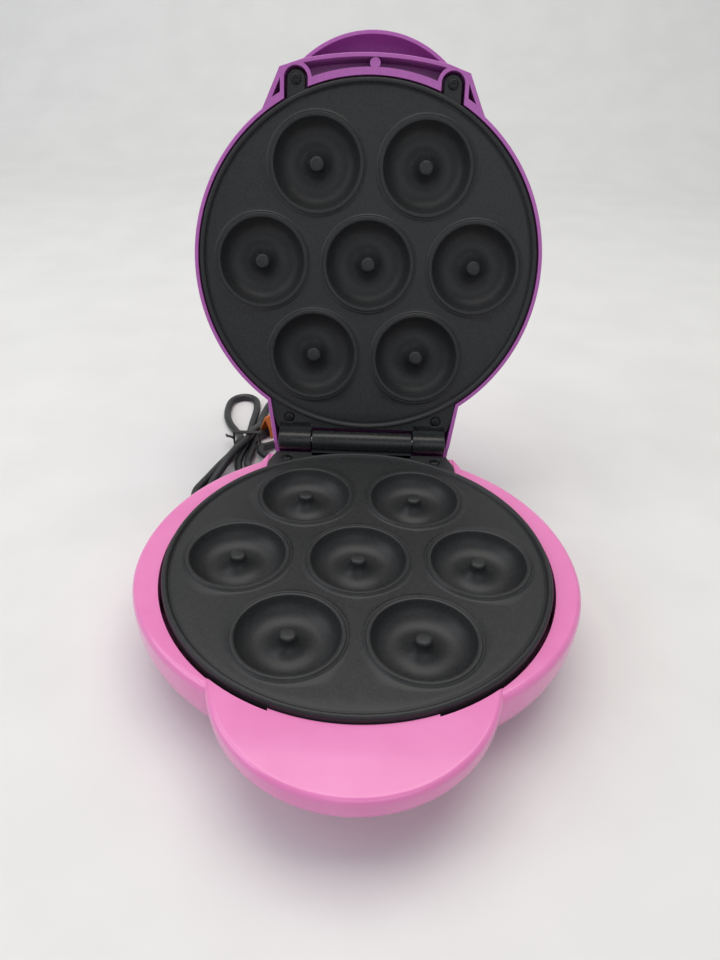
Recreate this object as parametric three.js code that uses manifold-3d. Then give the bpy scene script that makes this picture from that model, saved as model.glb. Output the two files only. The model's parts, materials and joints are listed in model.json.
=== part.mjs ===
// Mini donut maker, shown open. Two cast plates with seven pockets each sit in a hinged
// housing, with their heaters, switches and lamps inside, and the mains lead lies bundled
// behind it. Millimetres, +Z up, the handle towards -Y, the feet on Z = 0.

import * as THREE from 'three';
import { mergeVertices } from 'three/addons/utils/BufferGeometryUtils.js';
import Module from 'manifold-3d';

const wasm = await Module();
wasm.setup();

// ---- Driving dimensions --------------------------------------------------------------

// Fits: the gap between pieces that touch, and the free space round the plates
const SEAT = 0.3;
const PLATE_PLAY = 1;

// Cooking plates. A "drop" is a depth below the parting plane, where the two rims meet.
const POCKET_R = 23.2;
const BEAD_WIDTH = 3;
const BEAD_SPACING = 6.6;
const PLATE_MARGIN = 9.3;
const RIM_WIDTH = 3;
const RIM_DROP = 0.3;
const DECK_DROP = 1.5;
const DECK_THICK = 3;
const SKIRT_DROP = 7;
const SKIRT_THICK = 2.4;
const TROUGH_DROP = 10;
const TROUGH_R = 13.5;
const PEG_R = 3.9;
const PEG_DROP = 1;
const POCKET_BACK = 2.8;
const CAST_BOSS_R = 4.5;

// The plates' tails, ears and hinge knuckles
const TAIL_LENGTH = 20;
const TAIL_FRONT_X = 54;
const TAIL_BACK_X = 50.5;
const TAIL_STEP = 0.3;
const EAR_X = 41;
const EAR_WIDTH = 9.5;
const EAR_INSET = 2.5;
const REAR_SCREW_X = 43.5;
const LID_POST_R = 4;
const KNUCKLE_R = 6;
const KNUCKLE_SPLIT_X = 30;
const KNUCKLE_END_X = 49.6;
const KNUCKLE_GAP = 0.3;
const PIN_R = 2.5;
const HINGE_BEHIND = 7.8;
const HINGE_RISE = 2;
const OPEN_ANGLE = 107.3;

// Screws
const SCREW_R = 1.5;
const SCREW_HEAD_R = 2.75;
const SCREW_HEAD_H = 1.4;
const SCREW_LENGTH = 11;
const SINK_DEPTH = 1.2;
const POST_R = 5.5;
const FRONT_WEB = 4;
const SMALL_SCREW_R = 1.1;
const SMALL_HEAD_R = 2.2;

// Housing
const MATE = 47;
const WALL = 2.4;
const FLANGE_SIDE = 14.5;
const FLANGE_BACK = 11.5;
const FLANGE_FRONT = 1.8;
const FLANGE_DROP = 4.5;
const BAND_HEIGHT = 10;
const BOWL_INSET = 26;
const HANDLE_R = 62.4;
const HANDLE_REACH = 32.5;
const HANDLE_DROP = 3.5;
const HANDLE_HEIGHT = 15;
const BASE_TAIL_FRONT_X = 59;
const BASE_TAIL_BACK_X = 54.7;
const BASE_TAIL_LENGTH = 2.5;
const HEEL_X = 52;
const HEEL_LENGTH = 17.5;
const STOP_GAP = 0.6;
const LID_WALL = 2;
const LID_HEIGHT = 43.5;
const LID_RIM_GAP = 0.4;
const LID_TAIL_FRONT_X = 56.7;
const LID_TAIL_BACK_X = 51.3;
const LID_BACK_GAP = 9;
const LID_BACK_WALL = 2.4;
const LID_TAIL_HEIGHT = 26;
const BLOCK_HEIGHT = 17;
const RIB = 2;
const GRIP_R = 57.2;
const GRIP_REACH = 23.2;
const GRIP_RIM = 9;
const GRIP_HEIGHT = 15;

// Feet
const FOOT_H = 4;
const FOOT_R = 8;
const FOOT_INSET = 11;
const FOOT_PLUG_R = 2.3;
const FRONT_FOOT_ANGLE = 48;
const REAR_FOOT_X = 38;

// Cooling slots in the floor
const VENT_WIDTH = 3;
const VENT_LENGTH = 52;
const VENT_PITCH = 9;

// Heaters and switches
const HEATER_R = 3.3;
const HEATER_LEAD_X = 14;
const HEATER_LEAD_IN = 10.5;
const SHEET = 0.8;
const THERMOSTAT_R = 8;
const THERMOSTAT_H = 9;
const THERMOSTAT_Y = 36;
const THERMOSTAT_TERMINAL_X = 4;
const FUSE_R = 2.2;
const FUSE_LENGTH = 12;
const FUSE_X = -34;
const FUSE_Y = 8;
const LAMP_X = 9;
const LAMP_Y = -46;
const LENS_R = 3.5;
const LAMP_R = 2.6;
const LAMP_LENGTH = 13;
const HOLDER_POST_X = LAMP_X + 13;
const HOLDER_POST_R = 3;
const HOLDER_DROP = 16;
const HOLDER_THICK = 2;

// Mains lead
const CORD_R = 2.6;
const LEAD_X = -22;
const LEAD_Z = 13;
const BOOT_LENGTH = 30;
const BOOT_R = 5.2;
const STRAND_SIDES = 8;
const TIE_THICK = 0.9;
const CLAMP_POST_R = 3.4;
const CLAMP_SPREAD = 9;
const CLAMP_SIDE = 4;
const CLAMP_THICK = 3;
const CLAMP_SCREW_LENGTH = 9;
const TERMINAL_X = 8;
const TERMINAL_PITCH = 8;
const TERMINAL_WAYS = 3;
const TERMINAL_DEEP = 12;
const TERMINAL_H = 13;
const BLADE_X = 6.35;
const BLADE_THICK = 1.5;
const BLADE_WIDE = 6.4;
const BLADE_ROOT = 30;
const BLADE_LENGTH = 21.2;

// The origin lies under the middle of the open appliance, behind the plates' axis
const PLATE_Y = -30.5;

// ---- Sizes worked out from them ------------------------------------------------------

const BEAD_R = POCKET_R + BEAD_WIDTH;
const PITCH = 2 * BEAD_R + BEAD_SPACING;
const PLATE_R = PITCH + BEAD_R + PLATE_MARGIN;
const DECK_BACK = DECK_DROP + DECK_THICK;
const BACK_DROP = TROUGH_DROP + POCKET_BACK;
const WELL_R = PLATE_R + PLATE_PLAY;
const TAIL_Y = PLATE_R + 0.5;
const TAIL_DROP = DECK_DROP + TAIL_STEP;
const TAIL_BACK = DECK_BACK + TAIL_STEP;
const EAR_Y = PLATE_R - EAR_INSET;
// The lid's rear posts pass just outside the plate's edge
const REAR_SCREW_Y = Math.sqrt((PLATE_R + SEAT + LID_POST_R) ** 2 - REAR_SCREW_X ** 2);
const HINGE_Y = PLATE_R + HINGE_BEHIND;
const HINGE_Z = MATE + HINGE_RISE;
const BORE_R = PIN_R + SEAT;
const HOLE_R = SCREW_R + SEAT;
const SMALL_HOLE_R = SMALL_SCREW_R + SEAT;
const FRONT_POST_AT = PLATE_R - SKIRT_THICK - CAST_BOSS_R - 3.6;
const FRONT_POST_ANGLE = 30;
const FRONT_BOSS_DROP = BACK_DROP + 1.2;
const REFLECTOR_DROP = BACK_DROP + 2 * HEATER_R + 2 * SEAT;
const REFLECTOR_R = FRONT_POST_AT - POST_R - 2;
const REFLECTOR_BACK = REFLECTOR_DROP + SHEET;
const FLANGE_TOP = MATE - FLANGE_DROP;
const BASE_FLOOR = FOOT_H + WALL;
const HANDLE_Y = HANDLE_R - HANDLE_REACH - PLATE_R;
const HANDLE_TOP = MATE - HANDLE_DROP;
const HEEL_Y = PLATE_R + HEEL_LENGTH;
const LID_R = PLATE_R + LID_WALL + 0.5;
const LID_RIM = MATE + LID_RIM_GAP;
const LID_TOP = MATE + LID_HEIGHT;
const GRIP_Y = GRIP_R - GRIP_REACH - PLATE_R;
const LID_BACK_Y = HINGE_Y + LID_BACK_GAP;

const rad = THREE.MathUtils.degToRad;

// ---- Materials -----------------------------------------------------------------------

const material = (color, roughness, metalness = 0) =>
  new THREE.MeshStandardMaterial({ color, roughness, metalness });

const PINK = material(0xe788b8, 0.3);
const PURPLE_PINK = material(0xb05ab0, 0.4);
const NON_STICK = material(0x3a3c3d, 0.45, 0.3);
const BLACK_RUBBER = material(0x1f1f20, 0.7);
const BLACK_PLASTIC = material(0x1c1d1f, 0.5);
const STEEL = material(0x9a9c9f, 0.35, 0.9);
const ALUMINIUM = material(0xc3c5c8, 0.35, 0.9);
const CERAMIC = material(0xe6dfd0, 0.7);
const RED_LENS = material(0xc02020, 0.15);
const GREEN_LENS = material(0x1f9a48, 0.15);
const CLEAR_GLASS = material(0xdfe6e6, 0.1);
const ORANGE = material(0xd9601c, 0.6);
const BRASS = material(0xb89a4e, 0.35, 0.9);

// ---- Solid helpers -------------------------------------------------------------------

// Six times the volume that an indexed mesh encloses: negative where its faces point in
function signedVolume(position, index) {
  const [a, b, c] = [new THREE.Vector3(), new THREE.Vector3(), new THREE.Vector3()];
  let sum = 0;
  for (let i = 0; i < index.length; i += 3) {
    a.fromBufferAttribute(position, index[i]);
    b.fromBufferAttribute(position, index[i + 1]);
    c.fromBufferAttribute(position, index[i + 2]);
    sum += a.dot(b.cross(c));
  }
  return sum;
}

// A closed geometry as a solid: points merged, flat triangles dropped, faces outwards
function solid(geometry) {
  geometry.deleteAttribute('normal');
  geometry.deleteAttribute('uv');
  const merged = mergeVertices(geometry, 1e-4);
  const triangles = [];
  const index = merged.index.array;
  for (let i = 0; i < index.length; i += 3) {
    const [a, b, c] = [index[i], index[i + 1], index[i + 2]];
    if (a !== b && b !== c && c !== a) triangles.push(a, b, c);
  }
  if (signedVolume(merged.attributes.position, triangles) < 0) triangles.reverse();
  return new wasm.Manifold(new wasm.Mesh({
    numProp: 3,
    vertProperties: new Float32Array(merged.attributes.position.array),
    triVerts: new Uint32Array(triangles),
  }));
}

// A solid as a named mesh in a group
function piece(group, name, shape, look) {
  const { vertProperties, triVerts } = shape.getMesh();
  const geometry = new THREE.BufferGeometry();
  geometry.setAttribute('position', new THREE.BufferAttribute(vertProperties, 3));
  geometry.setIndex(new THREE.BufferAttribute(triVerts, 1));
  geometry.computeVertexNormals();
  const mesh = new THREE.Mesh(geometry, look);
  mesh.name = name;
  group.add(mesh);
}

const union = (...shapes) => shapes.reduce((whole, shape) => whole.add(shape));

// An outline of [x, y] points raised from one height to another
function prism(points, low, high) {
  const shape = new THREE.Shape(points.map(([x, y]) => new THREE.Vector2(x, y)));
  const geometry = new THREE.ExtrudeGeometry(shape, { depth: high - low, bevelEnabled: false });
  return solid(geometry.translate(0, 0, low));
}

// The same for an outline in the Y-Z plane, between two places along X
function sidePrism(points, from, to) {
  const shape = new THREE.Shape(points.map(([y, z]) => new THREE.Vector2(y, z)));
  const geometry = new THREE.ExtrudeGeometry(shape, { depth: to - from, bevelEnabled: false });
  geometry.rotateX(Math.PI / 2).rotateZ(Math.PI / 2);
  return solid(geometry.translate(from, 0, 0));
}

function block(x0, x1, y0, y1, z0, z1) {
  const geometry = new THREE.BoxGeometry(x1 - x0, y1 - y0, z1 - z0);
  return solid(geometry.translate((x0 + x1) / 2, (y0 + y1) / 2, (z0 + z1) / 2));
}

// An upright cylinder, and one along X or Y
function post(x, y, radius, low, high, sides = 12) {
  const geometry = new THREE.CylinderGeometry(radius, radius, high - low, sides);
  return solid(geometry.rotateX(Math.PI / 2).translate(x, y, (low + high) / 2));
}

function rodX(y, z, radius, from, to, sides = 16) {
  const geometry = new THREE.CylinderGeometry(radius, radius, to - from, sides);
  return solid(geometry.rotateZ(Math.PI / 2).translate((from + to) / 2, y, z));
}

function rodY(x, z, radius, from, to, sides = 12) {
  const geometry = new THREE.CylinderGeometry(radius, radius, to - from, sides);
  return solid(geometry.translate(x, (from + to) / 2, z));
}

// A profile of [radius, height] points turned about an upright axis at (x, y)
function turned(profile, sides, x = 0, y = 0) {
  const points = profile.map(([radius, height]) => new THREE.Vector2(radius, height));
  return solid(new THREE.LatheGeometry(points, sides).rotateX(Math.PI / 2).translate(x, y, 0));
}

// A body whose radius follows an outline: each step is [inset from the outline, height]
function follows(outline, steps, sides) {
  const reach = 400;
  const points = [new THREE.Vector2(0, steps[0][1])];
  for (const [inset, height] of steps) points.push(new THREE.Vector2(reach - inset, height));
  points.push(new THREE.Vector2(0, steps.at(-1)[1]));
  const geometry = new THREE.LatheGeometry(points, sides).rotateX(Math.PI / 2);
  const { position } = geometry.attributes;
  for (let i = 0; i < position.count; i++) {
    const radius = Math.hypot(position.getX(i), position.getY(i));
    if (radius < 1) continue;
    const angle = Math.atan2(position.getY(i), position.getX(i));
    const scale = (outline(angle) - reach + radius) / radius;
    position.setXY(i, position.getX(i) * scale, position.getY(i) * scale);
  }
  return solid(geometry);
}

// A round section carried along a curve
function tube(curve, radius, steps, sides = STRAND_SIDES) {
  const section = new THREE.Shape();
  for (let i = 0; i < sides; i++) {
    const angle = (i * 2 * Math.PI) / sides;
    const [x, y] = [radius * Math.cos(angle), radius * Math.sin(angle)];
    if (i === 0) section.moveTo(x, y);
    else section.lineTo(x, y);
  }
  const geometry = new THREE.ExtrudeGeometry(section, { steps, extrudePath: curve });
  return solid(geometry);
}

const arc = (x, y, radius, from, to, count) =>
  Array.from({ length: count + 1 }, (_, i) => {
    const angle = rad(from + ((to - from) * i) / count);
    return [x + radius * Math.cos(angle), y + radius * Math.sin(angle)];
  });

// ---- Cooking plates ------------------------------------------------------------------

const POCKET_SIDES = 14;

// The centre pocket, and six round it
const pocketPlaces = [[0, 0], ...arc(0, 0, PITCH, 0, 300, 5)];

// Each plate is worked out with its cooking side up and the parting plane at Z = 0
function cookingPlate(knuckles, extras) {
  const deck = turned([
    [0, -DECK_DROP],
    [PLATE_R - RIM_WIDTH - 1, -DECK_DROP],
    [PLATE_R - RIM_WIDTH, -RIM_DROP],
    [PLATE_R, -RIM_DROP],
    [PLATE_R, -SKIRT_DROP],
    [PLATE_R - SKIRT_THICK, -SKIRT_DROP],
    [PLATE_R - SKIRT_THICK, -DECK_BACK],
    [0, -DECK_BACK],
  ], 42);
  const cup = (x, y) => turned([
    [0, -RIM_DROP],
    [BEAD_R - 0.9, -RIM_DROP],
    [BEAD_R - 0.7, -DECK_BACK],
    [POCKET_R - 0.7, TROUGH_DROP * -0.9],
    [TROUGH_R + 2.5, -BACK_DROP],
    [0, -BACK_DROP],
  ], POCKET_SIDES, x, y);
  const hollow = (x, y) => turned([
    [0, 1],
    [POCKET_R, 1],
    [POCKET_R - 0.6, -0.35 * TROUGH_DROP],
    [(POCKET_R + TROUGH_R) / 2 + 0.8, -0.83 * TROUGH_DROP],
    [TROUGH_R, -TROUGH_DROP],
    [PEG_R + 1.1, -0.5 * TROUGH_DROP],
    [PEG_R, -PEG_DROP],
    [0, -PEG_DROP],
  ], POCKET_SIDES, x, y);
  const tail = prism([
    [-TAIL_FRONT_X, TAIL_Y - TAIL_LENGTH], [TAIL_FRONT_X, TAIL_Y - TAIL_LENGTH],
    [TAIL_BACK_X, TAIL_Y], [-TAIL_BACK_X, TAIL_Y],
  ], -TAIL_BACK, -TAIL_DROP);
  const stud = post(0, 0, CAST_BOSS_R, SEAT - REFLECTOR_DROP, -BACK_DROP + 1);
  const cups = pocketPlaces.map(([x, y]) => cup(x, y));
  let plate = union(deck, tail, knuckles, stud, extras, ...cups);
  for (const [x, y] of pocketPlaces) plate = plate.subtract(hollow(x, y));
  for (const side of [-1, 1]) {
    const x = side * REAR_SCREW_X;
    const sunk = post(x, REAR_SCREW_Y, SCREW_HEAD_R + SEAT, -TAIL_DROP - SINK_DEPTH, 1);
    plate = plate.subtract(sunk).subtract(post(x, REAR_SCREW_Y, HOLE_R, -TAIL_BACK - 1, 1, 10));
  }
  const pilot = post(0, 0, HOLE_R, -REFLECTOR_DROP - 1, -BACK_DROP - 1, 10);
  return plate.subtract(pilot);
}

// Hinge knuckles joined to the tail by a web; rise is the hinge's height in the plate's frame
function knuckle(from, to, radius, rise) {
  const barrel = rodX(HINGE_Y, rise, radius, from, to);
  const web = block(from, to, TAIL_Y - 2, HINGE_Y, -TAIL_BACK, -TAIL_DROP);
  return union(barrel, web).subtract(rodX(HINGE_Y, rise, BORE_R, from - 1, to + 1));
}

function frontPostPlace(side) {
  const angle = rad(-FRONT_POST_ANGLE);
  return [side * FRONT_POST_AT * Math.cos(angle), FRONT_POST_AT * Math.sin(angle)];
}

// Lower plate: a wide centre knuckle, and two bosses for the screws that come up from below
function lowerPlate() {
  const half = KNUCKLE_SPLIT_X - KNUCKLE_GAP;
  const centre = knuckle(-half, half, KNUCKLE_R, HINGE_RISE);
  const bosses = [-1, 1].map((side) => {
    const [x, y] = frontPostPlace(side);
    return post(x, y, CAST_BOSS_R, -FRONT_BOSS_DROP, -DECK_BACK + 1);
  });
  let plate = cookingPlate(centre, union(...bosses));
  for (const side of [-1, 1]) {
    const [x, y] = frontPostPlace(side);
    plate = plate.subtract(post(x, y, HOLE_R, -FRONT_BOSS_DROP - 1, -DECK_BACK - 1, 10));
  }
  return plate;
}

// Upper plate: a knuckle at each side of the centre one, and two rounded screw ears
function upperPlate() {
  const outer = [-1, 1].map((side) => {
    const ends = [side * (KNUCKLE_SPLIT_X + KNUCKLE_GAP), side * KNUCKLE_END_X];
    return knuckle(Math.min(...ends), Math.max(...ends), KNUCKLE_R, -HINGE_RISE);
  });
  const ears = [-1, 1].map((side) => {
    const x = side * EAR_X;
    const tip = arc(x, -EAR_Y, EAR_WIDTH / 2, 180, 360, 8);
    const root = -EAR_Y + 14;
    return prism([[x - EAR_WIDTH / 2, root], ...tip, [x + EAR_WIDTH / 2, root]], -TAIL_BACK, -TAIL_DROP);
  });
  let plate = cookingPlate(union(...outer), union(...ears));
  for (const side of [-1, 1]) {
    plate = plate.subtract(post(side * EAR_X, -EAR_Y, HOLE_R, -TAIL_BACK - 1, 1, 10));
  }
  return plate;
}

// A pan-head screw whose head sits on a face at the given height, shank downwards
function screw(x, y, seat, direction = -1, length = SCREW_LENGTH) {
  const underHead = seat - direction * SEAT;
  const top = underHead - direction * SCREW_HEAD_H;
  const head = post(x, y, SCREW_HEAD_R, Math.min(underHead, top), Math.max(underHead, top), 12);
  const tip = underHead + direction * length;
  const inHead = underHead - direction * SCREW_HEAD_H / 2;
  return head.add(post(x, y, SCREW_R, Math.min(tip, inHead), Math.max(tip, inHead), 8));
}

// Tubular heater: a ring under the outer pockets with both ends led out to the back
function heater() {
  const z = -BACK_DROP - SEAT - HEATER_R;
  const endY = PLATE_R - HEATER_LEAD_IN;
  const ring = arc(0, 0, PITCH, 66, -246, 20);
  const points = [
    [HEATER_LEAD_X, endY], [HEATER_LEAD_X, endY - 8], ...ring,
    [-HEATER_LEAD_X, endY - 8], [-HEATER_LEAD_X, endY],
  ].map(([x, y]) => new THREE.Vector3(x, y, z));
  let whole = tube(new THREE.CatmullRomCurve3(points), HEATER_R, 32, 8);
  for (const x of [-HEATER_LEAD_X, HEATER_LEAD_X]) {
    whole = whole.add(rodY(x, z, 1.4, endY - 4, endY + 6, 8));
  }
  return whole;
}

// Sheet reflector that presses the heater on, its edge rolled away from the plate
const reflector = () => turned([
  [HOLE_R, -REFLECTOR_DROP], [REFLECTOR_R, -REFLECTOR_DROP],
  [REFLECTOR_R, -REFLECTOR_DROP - 4], [REFLECTOR_R - SHEET, -REFLECTOR_DROP - 4],
  [REFLECTOR_R - SHEET, -REFLECTOR_BACK], [HOLE_R, -REFLECTOR_BACK],
  [HOLE_R, -REFLECTOR_DROP],
], 32);

// Disc thermostat on the reflector, with its two blade terminals
function thermostat() {
  const top = -REFLECTOR_BACK - SEAT;
  const low = top - THERMOSTAT_H;
  const can = turned([
    [0, top], [THERMOSTAT_R, top], [THERMOSTAT_R, top - 4],
    [THERMOSTAT_R - 1.2, top - 4.5], [THERMOSTAT_R - 1.2, low], [0, low],
  ], 20, 0, THERMOSTAT_Y);
  const blade = (x) => block(x - 0.4, x + 0.4, THERMOSTAT_Y - 3, THERMOSTAT_Y + 3, low - 6, low + 2);
  return union(can, blade(-THERMOSTAT_TERMINAL_X), blade(THERMOSTAT_TERMINAL_X));
}

// Thermal fuse lying against the reflector, its leads swaged into the ends
function thermalFuse() {
  const z = -REFLECTOR_BACK - SEAT - FUSE_R;
  const can = rodX(FUSE_Y, z, FUSE_R, FUSE_X - FUSE_LENGTH / 2, FUSE_X + FUSE_LENGTH / 2, 12);
  return can.add(rodX(FUSE_Y, z, 0.6, FUSE_X - FUSE_LENGTH, FUSE_X + FUSE_LENGTH, 8));
}

// ---- Base ----------------------------------------------------------------------------

// The flange is a half-ellipse behind and a shorter one in front
function flangeOutline(angle) {
  const side = PLATE_R + FLANGE_SIDE;
  const reach = PLATE_R + (Math.sin(angle) > 0 ? FLANGE_BACK : FLANGE_FRONT);
  return (side * reach) / Math.hypot(reach * Math.cos(angle), side * Math.sin(angle));
}

// Steps of a bowl: a quarter-round rise to the upright band, and a rounded top edge.
// The inside of the bowl is the same with the wall taken off.
function bowlSteps(wall) {
  const low = FOOT_H + wall;
  const high = FLANGE_TOP - wall;
  const band = FLANGE_TOP - BAND_HEIGHT;
  const steps = [];
  for (let i = 0; i <= 3; i++) {
    const turn = rad(i * 30);
    steps.push([wall + BOWL_INSET * (1 - Math.sin(turn)), band - (band - low) * Math.cos(turn)]);
  }
  const edge = wall > 0 ? [] : [[0, high - 4], [1.2, high - 1.2]];
  return [...steps, ...edge, [wall > 0 ? wall : 4, high]];
}

// The lobe in front that carries the handle: round, with a soft edge
function handleSteps(wall) {
  const low = HANDLE_TOP - HANDLE_HEIGHT + wall;
  const high = HANDLE_TOP - wall;
  const edge = wall > 0 ? [[wall, high]] : [[0, high - 4], [0.8, high - 1.4], [2.4, high]];
  return [[wall + 7, low], [wall + 1.5, low + 3], [wall, low + 6], ...edge];
}

const moved = (outlineR, steps, y, sides) => turned(
  [[0, steps[0][1]], ...steps.map(([inset, height]) => [outlineR - inset, height]), [0, steps.at(-1)[1]]],
  sides, 0, y,
);

// The lid's back wall, as it stands when open, lies along a slope: height of the slope at y
const STOP_LEAN = rad(OPEN_ANGLE - 90);
const STOP_REACH = LID_BACK_GAP + LID_BACK_WALL + STOP_GAP;
const stopZ = (y) => HINGE_Z - STOP_REACH / Math.cos(STOP_LEAN) - (y - HINGE_Y) * Math.tan(STOP_LEAN);

// The bowl, cleared behind the hinge down to the slope for the lid's back wall
function bowl(wall, sides) {
  const stepY = PLATE_R + BASE_TAIL_LENGTH - wall;
  const farY = HEEL_Y + FLANGE_BACK;
  const cleared = sidePrism([
    [stepY, stopZ(stepY) - wall], [farY, stopZ(farY) - wall], [farY, 2 * MATE], [stepY, 2 * MATE],
  ], -PLATE_R, PLATE_R);
  return follows(flangeOutline, bowlSteps(wall), sides).subtract(cleared);
}

// The tail under the hinge, and the heel behind it that the open lid stops against
function baseTail(wall) {
  const top = FLANGE_TOP + 0.5 - wall;
  const deep = BASE_TAIL_BACK_X - wall;
  const upper = prism([
    [-BASE_TAIL_FRONT_X + wall, PLATE_R - 25], [BASE_TAIL_FRONT_X - wall, PLATE_R - 25],
    [BASE_TAIL_FRONT_X - wall, PLATE_R - 8.5], [deep, PLATE_R + BASE_TAIL_LENGTH - wall],
    [-deep, PLATE_R + BASE_TAIL_LENGTH - wall], [-BASE_TAIL_FRONT_X + wall, PLATE_R - 8.5],
  ], BASE_FLOOR + 12, top);
  const stepY = PLATE_R + BASE_TAIL_LENGTH - wall;
  const heel = sidePrism([
    [PLATE_R - 30, FOOT_H + wall], [HEEL_Y - wall, FOOT_H + wall], [HEEL_Y - wall, stopZ(HEEL_Y) - wall],
    [stepY, stopZ(stepY) - wall], [PLATE_R - 30, stopZ(stepY) - wall],
  ], -HEEL_X + wall, HEEL_X - wall);
  return upper.add(heel);
}

const clampPostX = [LEAD_X - CLAMP_SPREAD, LEAD_X + CLAMP_SPREAD];
const CLAMP_Y = PLATE_R + 3.5;
const CLAMP_UNDER = LEAD_Z + CORD_R + SEAT;

function footPlaces() {
  const angle = rad(FRONT_FOOT_ANGLE);
  const reach = flangeOutline(-angle) - BOWL_INSET - FOOT_INSET;
  const front = [reach * Math.cos(angle), -reach * Math.sin(angle)];
  const rearY = HEEL_Y - FOOT_R - WALL - 3;
  return [
    ['rubber_foot_front_left', -front[0], front[1]], ['rubber_foot_front_right', front[0], front[1]],
    ['rubber_foot_rear_left', -REAR_FOOT_X, rearY], ['rubber_foot_rear_right', REAR_FOOT_X, rearY],
  ];
}

// Posts that the plate's screws and the cord clamp's screws hold in
function basePosts() {
  const posts = clampPostX.map((x) => post(x, CLAMP_Y, CLAMP_POST_R, FOOT_H, CLAMP_UNDER - SEAT, 12));
  for (const side of [-1, 1]) {
    const [x, y] = frontPostPlace(side);
    posts.push(post(x, y, POST_R, FOOT_H, MATE - FRONT_BOSS_DROP - SEAT));
    posts.push(post(side * REAR_SCREW_X, REAR_SCREW_Y, POST_R, FOOT_H, MATE - TAIL_BACK - SEAT));
  }
  return posts;
}

// Screw holes, the feet's holes, the cooling slots and the mouth for the strain relief
function baseHoles() {
  const holes = [rodY(LEAD_X, LEAD_Z, BOOT_R - 1, HEEL_Y - 12, HEEL_Y + 1, 16)];
  const web = MATE - FRONT_BOSS_DROP - SEAT - FRONT_WEB;
  const rearLow = MATE - TAIL_BACK - SEAT - SCREW_LENGTH;
  for (const side of [-1, 1]) {
    const [x, y] = frontPostPlace(side);
    holes.push(post(x, y, SCREW_HEAD_R + 3 * SEAT, 0, web, 14));
    holes.push(post(x, y, HOLE_R, web - 1, MATE, 10));
    holes.push(post(side * REAR_SCREW_X, REAR_SCREW_Y, HOLE_R, rearLow, MATE, 10));
  }
  for (const x of clampPostX) {
    holes.push(post(x, CLAMP_Y, SMALL_HOLE_R, CLAMP_UNDER - CLAMP_SCREW_LENGTH + 1.5, CLAMP_UNDER, 8));
  }
  for (const [, x, y] of footPlaces()) holes.push(post(x, y, FOOT_PLUG_R + SEAT, 0, BASE_FLOOR + 1, 12));
  for (let i = -2; i <= 2; i++) {
    const [low, high] = [i * VENT_PITCH - VENT_WIDTH / 2, i * VENT_PITCH + VENT_WIDTH / 2];
    holes.push(block(low, high, -VENT_LENGTH / 2, VENT_LENGTH / 2, 0, BASE_FLOOR + 1));
  }
  return holes;
}

function baseShell() {
  const outside = union(
    bowl(0, 40),
    moved(HANDLE_R, handleSteps(0), HANDLE_Y, 32),
    baseTail(0),
  );
  // The plates' well keeps its own wall where the flange and the handle are hollow
  const seatWall = post(0, 0, WELL_R + RIB, FLANGE_TOP - 9.5, MATE, 42);
  const well = post(0, 0, WELL_R, FLANGE_TOP - 14, MATE, 42);
  const skirtRoom = post(0, 0, WELL_R, MATE - SKIRT_DROP - SEAT, MATE, 42);
  const hollow = union(
    bowl(WALL, 36),
    moved(HANDLE_R, handleSteps(WALL), HANDLE_Y, 28),
    baseTail(WALL),
  ).subtract(seatWall).add(well);
  // A slot in the tail lets the lower plate's own tail and centre knuckle in
  const tailSlot = block(
    -TAIL_FRONT_X - PLATE_PLAY, TAIL_FRONT_X + PLATE_PLAY,
    TAIL_Y - TAIL_LENGTH - 6, PLATE_R + BASE_TAIL_LENGTH + 1, MATE - TAIL_BACK - SEAT, MATE,
  );
  const posts = union(...basePosts()).intersect(outside);
  let shell = outside.subtract(hollow).add(posts).subtract(tailSlot).subtract(skirtRoom);
  for (const hole of baseHoles()) shell = shell.subtract(hole);
  return shell;
}

// A moulded rubber foot with a plug that snaps through the floor
const foot = (x, y) => turned([
  [0, 0], [FOOT_R - 1, 0], [FOOT_R, 1], [FOOT_R - 0.4, FOOT_H - SEAT], [FOOT_PLUG_R, FOOT_H - SEAT],
  [FOOT_PLUG_R, BASE_FLOOR + SEAT], [FOOT_PLUG_R + 0.9, BASE_FLOOR + SEAT + 0.4],
  [FOOT_PLUG_R - 0.7, BASE_FLOOR + 3], [0, BASE_FLOOR + 3],
], 14, x, y);

// Screw terminal strip on the floor of the tail
function terminalBlock() {
  const end = TERMINAL_X + TERMINAL_WAYS * TERMINAL_PITCH;
  const [front, back] = [PLATE_R - 2 - TERMINAL_DEEP, PLATE_R - 2];
  const low = BASE_FLOOR + SEAT;
  let strip = block(TERMINAL_X, end, front, back, low, low + TERMINAL_H);
  for (let i = 0; i < TERMINAL_WAYS; i++) {
    const x = TERMINAL_X + (i + 0.5) * TERMINAL_PITCH;
    strip = strip.subtract(post(x, (front + back) / 2, 2.2, low + 6, low + TERMINAL_H + 1, 10));
  }
  for (let i = 1; i < TERMINAL_WAYS; i++) {
    const x = TERMINAL_X + i * TERMINAL_PITCH;
    strip = strip.subtract(block(x - 0.5, x + 0.5, front - 1, back + 1, low + 9, low + TERMINAL_H + 1));
  }
  return strip;
}

function cordClamp() {
  const [left, right] = clampPostX;
  const top = CLAMP_UNDER + CLAMP_THICK;
  let bar = block(
    left - CLAMP_SIDE, right + CLAMP_SIDE, CLAMP_Y - CLAMP_SIDE, CLAMP_Y + CLAMP_SIDE, CLAMP_UNDER, top,
  );
  for (const x of clampPostX) bar = bar.subtract(post(x, CLAMP_Y, SMALL_HOLE_R, CLAMP_UNDER - 1, top + 1, 8));
  return bar;
}

function clampScrew(x) {
  const under = CLAMP_UNDER + CLAMP_THICK + SEAT;
  return post(x, CLAMP_Y, SMALL_HEAD_R, under, under + 1.3, 12)
    .add(post(x, CLAMP_Y, SMALL_SCREW_R, under - CLAMP_SCREW_LENGTH, under + 0.6, 8));
}

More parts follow.
